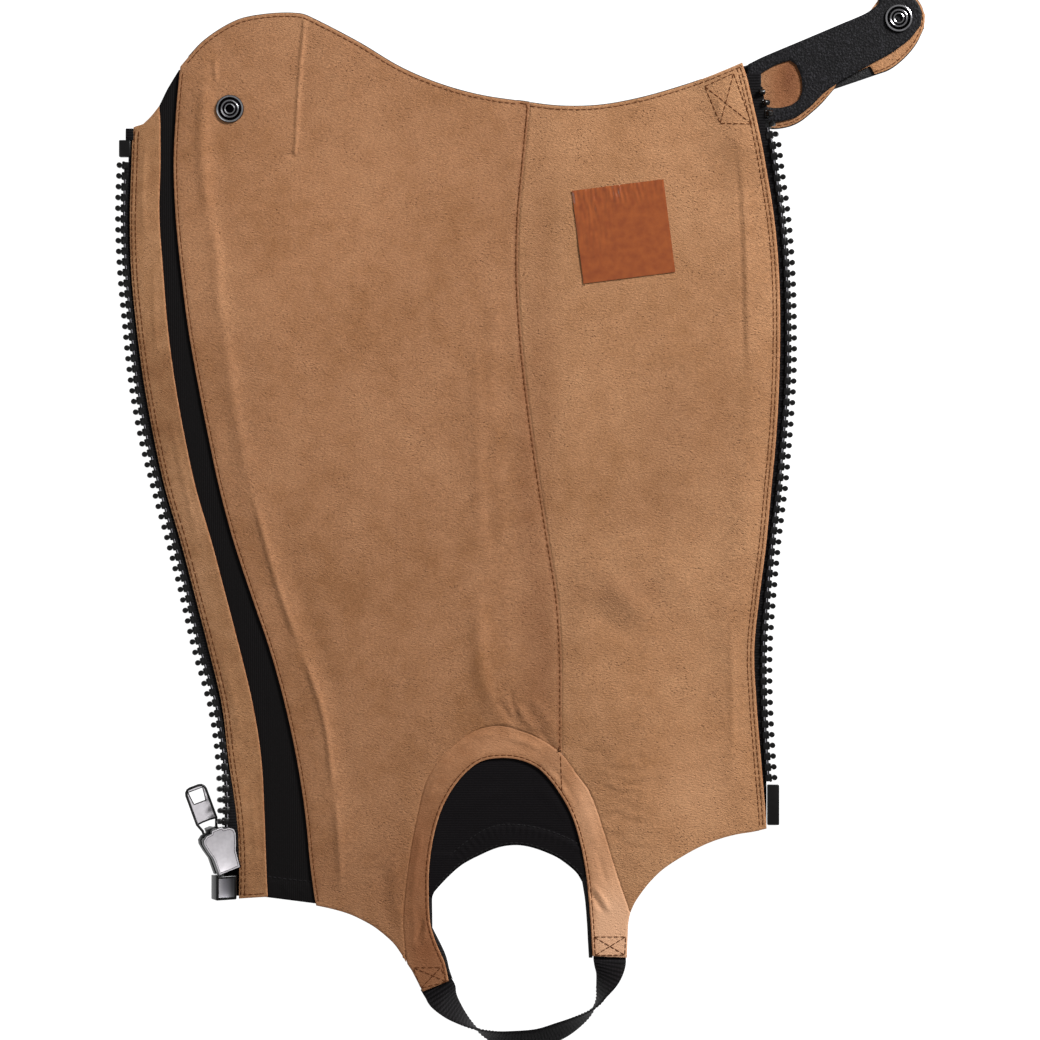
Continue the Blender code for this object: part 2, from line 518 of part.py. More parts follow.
def build_shell(bench):
    """The black lower layer: shell in two parts, zip strip, elastic panel and gusset."""
    arch = curve_through(ARCH_EDGE)
    top = offset(curve_through(TOP_EDGE), EDGE_SHOW)
    left_leg, right_leg = curve_through(LEFT_LEG_EDGE), curve_through(RIGHT_LEG_EDGE)
    seam_x, gap, lap_gap = SECTIONS[-1].seam, SEAM_GAP / 2, LAP + SEAM_GAP
    left_low, right_low = GUSSET_EDGE[0].y, GUSSET_EDGE[-1].y
    set_back = offset(arch, lap_gap)
    crest = [spot for spot in set_back if spot[1] > left_low]
    seam_top = 191.6

    front = (trimmed(trimmed(top, 0, across("front", 212.0) + lap_gap, True), 0,
                     across("seam", seam_top) - gap, False)
             + edge("seam", seam_top - 1.0, -118.0, -gap)
             + trimmed(crest, 0, seam_x - gap, False)[::-1]
             + SHELL_LEG_INNER["left"][::-1]
             + [SHELL_LEG_END["left"]]
             + trimmed(trimmed(left_leg, 0, -50.0, False), 0, across("front", -177.0) + lap_gap, True)[::-1]
             + edge("front", -178.0, 212.0, lap_gap))
    solid = bench.piece(flat_solid("outer_front", front, 0.0, SHELL), "black_leather")
    hole = cylinder("stud_hole_outer", SNAP_STUD_AT, STEM_RADIUS + SEAM_GAP, -5.0, 5.0)
    boolean(solid, bench.cutter(hole), "DIFFERENCE")

    inside = (trimmed(trimmed(top, 0, across("seam", seam_top) + gap, True), 0,
                      TAB_ROOT_LEFT - SEAM_GAP, False)
              + [(TAB_ROOT_LEFT - SEAM_GAP, TAB_ROOT_LOW - SEAM_GAP)]
              + edge("inside", TAB_ROOT_LOW - SEAM_GAP, -142.0, -lap_gap)
              + trimmed(trimmed(right_leg, 0, across("inside", -142.0) - lap_gap, False), 1, -194.0, True)
              + [SHELL_LEG_END["right"]]
              + SHELL_LEG_INNER["right"][::-1]
              + [spot for spot in trimmed(set_back, 0, seam_x + gap, True) if spot[1] > right_low][::-1]
              + edge("seam", -128.0, seam_top - 1.0, gap))
    bench.piece(flat_solid("outer_inside", inside, 0.0, SHELL), "black_leather")

    strip = (edge("elastic", 186.0, -173.0, -lap_gap) + edge("strip", -173.6, 181.0, lap_gap))
    bench.piece(flat_solid("outer_zip_strip", strip, 0.0, SHELL), "black_leather")

    elastic = ([(across("elastic", 187.0) - LAP, 187.0)] + curve_through(ELASTIC_TOP)
               + edge("front", 206.0, -177.0, LAP) + edge("elastic", -173.4, 186.0, -LAP))
    bench.piece(flat_solid("elastic_panel", elastic, 0.0, SHELL), "stretch_fabric")

    crescent = [spot for spot in offset(arch, LAP) if spot[1] > (left_low if spot[0] < 0 else right_low)]
    bench.piece(flat_solid("arch_gusset", crescent + curve_through(GUSSET_EDGE)[::-1], 0.0, SHELL),
                "stretch_fabric")


def tape_ring(low, lean=(0, 0, 1)):
    """A section of tape from the underside's four points; lean is its thickness direction at the chain."""
    ups = [Vector(lean)] * 2 + [Vector((0, 0, 1))] * 2
    top = [Vector(spot) + TAPE * up for spot, up in zip(low, ups)]
    return [tuple(spot) for spot in list(low) + top[::-1]]


def chain_ring(centre, right, up):
    """An eight-sided section of the moulded chain at a point, with its own right and up directions."""
    centre, right, up = Vector(centre), Vector(right), Vector(up)
    w, h, c = TOOTH / 2, CHAIN / 2, CHAIN_CHAMFER
    corners = ((-w, -h + c), (-w, h - c), (-w + c, h), (w - c, h), (w, h - c), (w, -h + c), (w - c, -h),
               (-w + c, -h))
    return [tuple(centre + right * a + up * b) for a, b in corners]


def tape_beside(outer, outer_z, edge_x, inner_x, y, under):
    """The four points of a tape's underside, from its chain in under the upper layer's edge."""
    ramp = 0.4 * (edge_x - outer)
    ramp_z = outer_z + 0.3 * (under(edge_x, y) - outer_z)
    return [(outer, y, outer_z), (outer + ramp, y, ramp_z), (edge_x, y, under(edge_x, y)),
            (inner_x, y, under(inner_x, y))]


def build_right_zip(bench):
    """The right tape and chain, lifted over the closure tab, and the pin at their foot."""
    mid = CHAIN / 2 - TAPE / 2
    rows = [y for y in ROWS if -121.0 < y < 190.0]
    top, foot = CHAIN_TOP, PIN["high"] + SEAM_GAP

    def under(x, y):
        return SEAM_GAP + tab_lift(y)

    tape = []
    for y in [PIN["low"] - 0.1, PIN["high"] - 0.8, foot] + rows + [top, top + 1.0, RIGHT_TAPE_TOP]:
        inside, outer = across("inside", y), across("tip_right", y) - TOOTH - SEAM_GAP
        outer_z = mid + tab_lift(y)
        if y < foot:
            outer, outer_z = PIN["left"] - SEAM_GAP, under(0.0, y)
        if y > top:
            outer = RIGHT_TAPE_TOP_X
        edge_x = min(inside + 0.2, outer - 0.6)
        tape.append(tape_ring(tape_beside(outer, outer_z, edge_x, inside - LAP, y, under)))
    bench.piece(loft("zip_tape_right", tape), "stretch_fabric")
    chain = [chain_ring((across("tip_right", y) - TOOTH / 2, y, CHAIN / 2 + tab_lift(y)), (1, 0, 0), (0, 0, 1))
             for y in [foot] + rows + [top]]
    bench.piece(loft("zip_chain_right", chain), "moulded_plastic")
    bench.piece(box("insertion_pin", (PIN["left"], PIN["low"], 0.0), (PIN["right"], PIN["high"], PIN["thick"])),
                "moulded_plastic")


def build_left_zip(bench):
    """The left tape and chain, which turn and rise into the slider, and the stop at their head."""
    mid = CHAIN / 2 - TAPE / 2
    rows = [y for y in ROWS if LEFT_CHAIN_ENDS[0] < y < LEFT_CHAIN_ENDS[1] - 5.0] + [LEFT_CHAIN_ENDS[1]]
    slider_axes = placement((0, 0, 0), SLIDER_TURN).to_3x3()
    slider_right, slider_up = slider_axes @ Vector((1, 0, 0)), slider_axes @ Vector((0, 0, 1))

    def under(x, y):
        return SEAM_GAP + strip_lift(x, y)

    chain, tape = [], []
    for y in rows[::-1]:
        roll = math.radians(SLIDER_TURN["roll"]) * (1 - step_up(y, -136.0, -95.0))
        right, up = (math.cos(roll), 0, -math.sin(roll)), (math.sin(roll), 0, math.cos(roll))
        middle = Vector((across("tip_left", y) + TOOTH / 2, y, CHAIN / 2 + slider_lift(y)))
        chain.append(chain_ring(middle, right, up))
        outer = middle + Vector(right) * (TOOTH / 2 + SEAM_GAP)
        strip = across("strip", y)
        tape.append(tape_ring(tape_beside(outer.x, outer.z - TAPE / 2, strip - 0.2, strip + LAP, y, under)))
    head = [Vector(spot) + Vector((0, LEFT_TAPE_PAST_CHAIN, 0)) for spot in tape[0][:4]]
    tape.insert(0, tape_ring([tuple(spot) for spot in head]))
    for x, y, half_width in CHAIN_IN_SLIDER:
        chain.append(chain_ring(in_slider(x, y, 0), slider_right, slider_up))
        at_chain = in_slider(x + TOOTH / 2 + SEAM_GAP, y, -TAPE / 2)
        past_side = in_slider(half_width + SEAM_GAP, y, -TAPE / 2)
        strip, level = across("strip", past_side.y), past_side.y
        low = [tuple(at_chain), tuple(past_side), (strip - 0.1, level, under(strip, level)),
               (strip + LAP, level, under(strip + LAP, level))]
        tape.append(tape_ring(low, slider_up))
    bench.piece(loft("zip_chain_left", chain), "moulded_plastic")
    bench.piece(loft("zip_tape_left", tape), "stretch_fabric")
    stop_x = across("tip_left", 170.0)
    bench.piece(box("zip_top_stop", (stop_x + STOP["inset"], STOP["low"], 0.0),
                    (stop_x + TOOTH - SEAM_GAP, STOP["high"], CHAIN)), "moulded_plastic")


def both_sides(right):
    """A closed outline from its right half and the mirror image of that."""
    return right + [(-x, y) for x, y in reversed(right)]


def build_slider(bench):
    """Two shield plates joined by flanged sides and a wedge, with a bridge for the pull on the outer side."""
    at = placement(SLIDER_AT, SLIDER_TURN)
    shield = both_sides([tuple(point) for point in SLIDER_HALF_OUTLINE])
    body = bench.piece(flat_solid("slider", shield, -SLIDER_HALF_THICK, SLIDER_HALF_THICK), "polished_zinc")
    sides = [(point.x - FLANGE, point.y) for point in SLIDER_HALF_OUTLINE if -9.0 < point.y < 9.0]
    channel = both_sides([(sides[0][0], 12.0)] + sides + [(SLIDER_HALF_OUTLINE[-1].x - FLANGE, -12.0)])
    cuts = (flat_solid("slider_channel", channel, -CHANNEL_HALF, CHANNEL_HALF),
            box("slider_slot", (-12.0, -12.0, -SLOT_HALF), (12.0, 12.0, SLOT_HALF)))
    for cut in cuts:
        boolean(body, bench.cutter(cut), "DIFFERENCE")
    low = -SLIDER_HALF_THICK - BRIDGE["hole"] - BRIDGE["thick"]
    bridge = box("bridge", (-BRIDGE["half_width"], BRIDGE["low"], low),
                 (BRIDGE["half_width"], BRIDGE["high"], -SLIDER_HALF_THICK + 0.6))
    hole = box("bridge_hole", (-4.0, BRIDGE["low"] + BRIDGE["leg"], low + BRIDGE["thick"]),
               (4.0, BRIDGE["high"] - BRIDGE["leg"], 0.0))
    boolean(bridge, bench.cutter(hole), "DIFFERENCE")
    joins = (flat_solid("slider_wedge", WEDGE, -CHANNEL_HALF - 0.5, CHANNEL_HALF + 0.5), bridge)
    for join in joins:
        boolean(body, bench.cutter(join), "UNION")
    for obj in (body, *cuts, *joins, hole):
        obj.matrix_world = at


def build_pull(bench):
    """The pull tab: a flat frame with a window, an eye round the bridge, and the bar it turns on."""
    half, eye = PULL_WIDTH / 2, PULL_EYE
    neck = eye["half_width"] + eye["arm"]
    right = [(neck - 0.9, -PULL_BAR), (neck, 0.4), (neck, 3.4), (half, 7.0), (half, PULL_LENGTH - 2.2),
             (half - 0.9, PULL_LENGTH - 0.7), (half - 2.6, PULL_LENGTH)]
    at = placement(in_slider(0, PIVOT_Y, -PIVOT_DEPTH), PULL_TURN)
    pull = bench.piece(flat_solid("pull_tab", both_sides(right), -PULL_THICK / 2, PULL_THICK / 2),
                       "polished_zinc")
    eye_half, mid = eye["half_width"], (eye["start"] + eye["end"]) / 2
    opening = [(eye_half, eye["start"]), (eye_half, mid + 0.6), (eye_half - 0.9, eye["end"]),
               (-eye_half + 0.9, eye["end"]), (-eye_half, mid + 0.6), (-eye_half, eye["start"])]
    window_top = PULL_LENGTH - PULL_WINDOW["from_tip"]
    wide, narrow = PULL_WINDOW["wide"] / 2, PULL_WINDOW["narrow"] / 2
    window = [(wide, window_top), (-wide, window_top), (-narrow, window_top - PULL_WINDOW["length"]),
              (narrow, window_top - PULL_WINDOW["length"])]
    for name, shape in (("pull_eye", opening), ("pull_window", window)):
        cut = bench.cutter(flat_solid(name, shape, -3.0, 3.0))
        boolean(pull, cut, "DIFFERENCE")
        cut.matrix_world = at
    pull.matrix_world = at


def build_retainer(bench):
    """The block at the foot of the left tape, with the socket that takes the insertion pin."""
    at = placement(BOX_AT, {"lean": 0.0, "pitch": 0.0, "roll": BOX_ROLL})
    half = [side / 2 for side in BOX_SIZE]
    block = bench.piece(box("retainer_box", [-side for side in half], half), "moulded_plastic")
    socket = bench.cutter(box(
        "retainer_socket", (-half[0] + 1.2, half[1] - BOX_SOCKET[1], -BOX_SOCKET[2] / 2),
        (-half[0] + 1.2 + BOX_SOCKET[0], half[1] + 2.0, BOX_SOCKET[2] / 2)))
    boolean(block, socket, "DIFFERENCE")
    block.matrix_world = at
    socket.matrix_world = at


def build_tab(bench):
    """The closure tab's three layers, rooted under the lining's corner, with its snap socket."""
    layers = [i * (TAB_LAYER + SEAM_GAP) for i in range(3)]
    stem = STEM_RADIUS + SEAM_GAP
    end = arc(TAB_END_CENTRE, TAB_END_RADIUS, 138, -20, 12)
    top = curve_through(TOP_EDGE)
    tan_end = arc(TAB_END_CENTRE, TAB_END_RADIUS + 0.9, 132, 18, 9)
    tan_tip, tan_root = curve_through(TAB_TAN_TIP), curve_through(TAB_TAN_ROOT)
    backing = curve_through(TAB_UPPER) + end + curve_through(BACKING_LOWER) + [(103.0, 184.0)]
    tan = ([(105.6, 208.9)] + [(x, y - 0.8) for x, y in curve_through(TAB_UPPER)[1:-1]] + tan_end + tan_tip
           + list(TAB_TAN_NOTCH) + tan_root[1:] + [(103.0, 183.0)])
    outer = (trimmed(top, 0, TAB_ROOT_LEFT, True)[:-1] + curve_through(TAB_UPPER)
             + arc(TAB_END_CENTRE, TAB_END_RADIUS + 1.3, 134, 14, 9)
             + offset(tan_tip, 0.4)[1:] + offset(tan_root, 0.4) + [(TAB_ROOT_LEFT, TAB_ROOT_LOW)])
    for name, outline, low, finish in (("tab_outer", outer, layers[0], "black_leather"),
                                       ("tab_lining", tan, layers[1], "pigskin"),
                                       ("tab_backing", backing, layers[2], "black_leather")):
        layer = bench.piece(flat_solid(name, outline, low, low + TAB_LAYER), finish)
        boolean(layer, bench.cutter(cylinder(name + "_hole", SNAP_SOCKET_AT, stem, -2.0, 6.0)), "DIFFERENCE")
        if name == "tab_backing":
            window = bench.cutter(flat_solid("tab_window", curve_through(WINDOW, 4.0)[:-1], -2.0, 6.0))
            boolean(layer, window, "DIFFERENCE")
    build_snap(bench, "tab_snap", SNAP_SOCKET_AT, layers[2] + TAB_LAYER + SEAM_GAP)


def build_snap(bench, name, spot, flange_low):
    """A snap's eyelet: a rolled flange on the piece, and its stem through the layers below."""
    base = SEAM_GAP
    top = flange_low + 1.3
    profile = [(0.0, flange_low + 0.2), (2.0, flange_low + 0.2), (2.1, top - 0.3), (2.6, top), (3.6, top),
               (4.2, flange_low + 0.7), (4.9, flange_low + 0.6), (5.5, flange_low + 0.9),
               (6.1, flange_low + 0.7), (SNAP_RADIUS, flange_low + 0.2), (SNAP_RADIUS - 0.2, flange_low),
               (STEM_RADIUS, flange_low), (STEM_RADIUS, base), (0.0, base)]
    snap = bench.piece(turned(name, profile), "gunmetal")
    snap.location = (spot[0] * MM, spot[1] * MM, 0.0)


def build_label(bench):
    """The glossy patch on the inner-leg lining."""
    wide, tall = (side / 2 for side in LABEL_SIZE)
    turn = math.radians(LABEL_TURN)
    corners = [(LABEL_CENTRE[0] + x * math.cos(turn) - y * math.sin(turn),
                LABEL_CENTRE[1] + x * math.sin(turn) + y * math.cos(turn))
               for x, y in ((-wide, -tall), (wide, -tall), (wide, tall), (-wide, tall))]
    low = LINING_BASE + LINING + SEAM_GAP
    bench.piece(flat_solid("label_patch", corners, low, low + SEAM_GAP), "foil")


def build_strap(bench):
    """The foot strap: a flat webbing that rests on the surface along its lower edge."""
    line = np.array(curve_through(STRAP, 4.0))
    ahead = np.gradient(line[:, :2], axis=0)
    ahead /= np.linalg.norm(ahead, axis=1)[:, None]
    rings = []
    for (x, y, roll), (ax, ay) in zip(line, ahead):
        roll = max(roll, 0.0)
        c, s = math.cos(math.radians(roll)), math.sin(math.radians(roll))
        left, up = Vector((-ay, ax, 0)), Vector((0, 0, 1))
        wide = (-c * left + s * up) * STRAP_WIDTH / 2
        flat = roll < 10
        thick = (c * up + s * left) * (SHELL if flat else STRAP_THICK) / 2
        middle = Vector((x, y, abs(wide.z) + abs(thick.z)))
        rings.append([tuple(middle + a * wide + b * thick) for a, b in ((-1, -1), (1, -1), (1, 1), (-1, 1))])
    bench.piece(loft("foot_strap", rings), "webbing")


def main():
    bench = Bench()
    build_shell(bench)
    build_linings(bench)
    build_right_zip(bench)
    build_left_zip(bench)
    build_slider(bench)
    build_pull(bench)
    build_retainer(bench)
    build_tab(bench)
    build_snap(bench, "snap_stud", SNAP_STUD_AT, LINING_BASE + LINING + SEAM_GAP)
    build_label(bench)
    build_strap(bench)


main()
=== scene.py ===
"""A tan and black leather half chap, opened out flat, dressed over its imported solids.

Each cut piece is a thin sheet laid on its own solid: the outline is read from the solid, the sheet is
divided, and its folds, rolled edges and sewing are added. The zip, slider, snaps and foot strap are
modelled piece by piece. Lengths in the tables are millimetres; +Y runs up the leg and +X to the right.
"""

import logging
import math
from dataclasses import dataclass, field
from enum import Enum
from typing import Any, Callable, Iterable, Sequence

import bmesh
import bpy
import numpy as np
from mathutils import Matrix, Vector, noise
from mathutils.bvhtree import BVHTree


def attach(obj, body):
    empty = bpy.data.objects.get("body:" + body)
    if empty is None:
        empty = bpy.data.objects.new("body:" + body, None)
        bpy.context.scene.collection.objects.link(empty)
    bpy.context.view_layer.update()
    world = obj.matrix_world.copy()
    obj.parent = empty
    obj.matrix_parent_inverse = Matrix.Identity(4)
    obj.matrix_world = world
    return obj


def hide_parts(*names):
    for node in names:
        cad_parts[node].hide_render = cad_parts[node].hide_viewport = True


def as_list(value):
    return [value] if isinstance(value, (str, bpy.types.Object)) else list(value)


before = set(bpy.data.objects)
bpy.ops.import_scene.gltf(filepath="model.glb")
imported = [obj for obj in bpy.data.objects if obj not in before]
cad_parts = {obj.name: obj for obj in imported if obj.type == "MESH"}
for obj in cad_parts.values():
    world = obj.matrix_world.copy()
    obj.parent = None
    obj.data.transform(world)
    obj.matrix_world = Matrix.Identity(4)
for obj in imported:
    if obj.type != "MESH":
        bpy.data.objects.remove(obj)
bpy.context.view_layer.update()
LOG = logging.getLogger("half_chap")
MM = 0.001
BODY = "chap"
PULL_BODY = "pull"
Piece = bpy.types.Object
Line = np.ndarray                           # rows of x and y in mm, some with a third value
Spots = tuple[tuple[float, float], ...]     # pairs in mm: x and y, or a radius and a height
IN_PLANE = 0.999    # two faces whose normals agree this well are taken to lie in one plane


# ------------ small helpers
def linear(code: str) -> tuple[float, float, float, float]:
    """Turn an sRGB hex colour into linear numbers.

    Args:
        code: six hex digits, with or without the hash sign.

    Returns:
        Red, green, blue and alpha, linear.
    """
    digits = code.lstrip("#")
    channels = [int(digits[i:i + 2], 16) / 255 for i in (0, 2, 4)]
    return (*(c / 12.92 if c <= 0.04045 else ((c + 0.055) / 1.055) ** 2.4 for c in channels), 1.0)


def ease(value: Any, low: float, high: float) -> Any:
    """Smooth step: 0 below low, 1 above high."""
    t = np.clip((np.asarray(value, float) - low) / (high - low), 0.0, 1.0)
    return t * t * (3 - 2 * t)


def only(obj: Piece) -> None:
    """Leave edit mode, select one object alone and make it active.

    Args:
        obj: the object.
    """
    if bpy.context.mode != "OBJECT":
        bpy.ops.object.mode_set(mode="OBJECT")
    bpy.ops.object.select_all(action="DESELECT")
    obj.select_set(True)
    bpy.context.view_layer.objects.active = obj


def apply_modifiers(obj: Piece) -> None:
    """Apply all of a piece's modifiers, in order.

    Args:
        obj: the piece.
    """
    only(obj)
    for modifier in list(obj.modifiers):
        bpy.ops.object.modifier_apply(modifier=modifier.name)


def settle(obj: Piece, name: str, angle: float = 35.0) -> Piece:
    """Name a piece, put its place into its mesh and shade it.

    Args:
        obj: the piece.
        name: its final name.
        angle: edges sharper than this many degrees stay crisp.

    Returns:
        The same piece.
    """
    only(obj)
    obj.name = name
    obj.data.name = name
    bpy.ops.object.transform_apply(location=True, rotation=True, scale=True)
    bpy.ops.object.shade_smooth()
    bpy.ops.object.shade_smooth_by_angle(angle=math.radians(angle))
    return obj


def pick_faces(obj: Piece, test: Callable[[Any], bool]) -> None:
    """In edit mode, select only the faces that pass a test.

    Args:
        obj: the piece that is being edited.
        test: says of a face whether it is wanted.
    """
    bpy.ops.mesh.select_all(action="DESELECT")
    bm = bmesh.from_edit_mesh(obj.data)
    for face in bm.faces:
        face.select_set(bool(test(face)))
    bmesh.update_edit_mesh(obj.data)


def mesh_piece(name: str, verts: Sequence[Any], faces: Sequence[Any]) -> Piece:
    """Make a mesh object from its points and faces.

    Args:
        name: the object's name.
        verts: its points, in metres.
        faces: the point numbers of each face.

    Returns:
        The object, linked to the scene.
    """
    mesh = bpy.data.meshes.new(name)
    mesh.from_pydata([tuple(v) for v in verts], [], [tuple(f) for f in faces])
    mesh.update()
    obj = bpy.data.objects.new(name, mesh)
    bpy.context.scene.collection.objects.link(obj)
    return obj


def node_arrays(name: str) -> tuple[np.ndarray, np.ndarray]:
    """Read a solid's welded points and its triangles.

    Args:
        name: the solid's node.

    Returns:
        Points in millimetres and triangles of point numbers.
    """
    bm = bmesh.new()
    bm.from_mesh(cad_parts[name].data)
    bmesh.ops.remove_doubles(bm, verts=bm.verts, dist=1e-6)
    bmesh.ops.triangulate(bm, faces=bm.faces)
    points = np.array([v.co[:] for v in bm.verts]) / MM
    faces = np.array([[v.index for v in f.verts] for f in bm.faces])
    bm.free()
    return points, faces


def along(line: Line, step: float) -> Line:
    """Points at even spacing along a line of points.

    Args:
        line: the line's points.
        step: the spacing, which is adjusted to fit a whole number of times.

    Returns:
        The new points, from end to end.
    """
    gaps = np.linalg.norm(np.diff(line, axis=0), axis=1)
    run = np.concatenate([[0], np.cumsum(gaps)])
    count = max(2, int(round(run[-1] / step)) + 1)
    places = np.linspace(0, run[-1], count)
    return np.stack([np.interp(places, run, line[:, i]) for i in range(line.shape[1])], axis=1)


def rounded(points: Sequence[Any], step: float) -> Line:
    """A smooth line through a few points.

    Args:
        points: the points that it passes through.
        step: about how far its own points lie apart.

    Returns:
        The line's points, from end to end.
    """
    rows = np.array(points, float)
    rows = np.vstack([2 * rows[0] - rows[1], rows, 2 * rows[-1] - rows[-2]])
    line = []
    for i in range(1, len(rows) - 2):
        p0, p1, p2, p3 = rows[i - 1:i + 3]
        count = max(2, int(np.linalg.norm((p2 - p1)[:2]) / step))
        for t in np.linspace(0, 1, count, endpoint=False):
            line.append(0.5 * (2 * p1 + (p2 - p0) * t + (2 * p0 - 5 * p1 + 4 * p2 - p3) * t**2
                               + (3 * p1 - p0 - 3 * p2 + p3) * t**3))
    line.append(rows[-2])
    return np.array(line)


def distance_to(line: Line, xy: np.ndarray, closed: bool = False) -> tuple[np.ndarray, np.ndarray]:
    """How far points lie from a line, and where along it the nearest place is.

    Args:
        line: the line's points.
        xy: the points to measure.
        closed: True if the line returns to its start.

    Returns:
        Distances, and the share of the line's length at the nearest place.
    """
    a = line[:, :2]
    b = np.roll(a, -1, axis=0) if closed else a[1:]
    a = a if closed else a[:-1]
    run = b - a
    length = np.maximum(np.linalg.norm(run, axis=1), 1e-9)
    starts = np.concatenate([[0], np.cumsum(length)[:-1]])
    best = np.full(len(xy), 1e9)
    share = np.zeros(len(xy))
    for i in range(len(a)):
        t = np.clip(((xy - a[i]) @ run[i]) / length[i] ** 2, 0, 1)
        gap = np.linalg.norm(xy - a[i] - t[:, None] * run[i], axis=1)
        nearer = gap < best
        best[nearer] = gap[nearer]
        share[nearer] = (starts[i] + t[nearer] * length[i]) / length.sum()
    return best, share


def loop_length(loop: Line) -> float:
    """Length round a closed loop."""
    return float(np.linalg.norm(np.roll(loop, -1, axis=0) - loop, axis=1).sum())


def loop_area(loop: Line) -> float:
    """Area inside a closed loop, positive if it runs anticlockwise."""
    x, y = loop[:, 0], loop[:, 1]
    return float(np.dot(x, np.roll(y, -1)) - np.dot(y, np.roll(x, -1))) / 2


# ------------ reading the solids
UPWARD = 0.3        # least upward part of the normal of a face that counts as upper
MERGE_GAP = 0.25    # points of a loop that lie closer than this are one, in mm
THIN_GAP = 3.5      # least distance between the points that a smooth run passes through, in mm
END_GAP = 2.0       # and from the last of them to the run's end
FINE_STEP = 1.5     # spacing of the points of a hole's edge and of a sewn run, in mm
CLEAR_ABOVE = 60.0  # height above everything from which rays look down, in mm


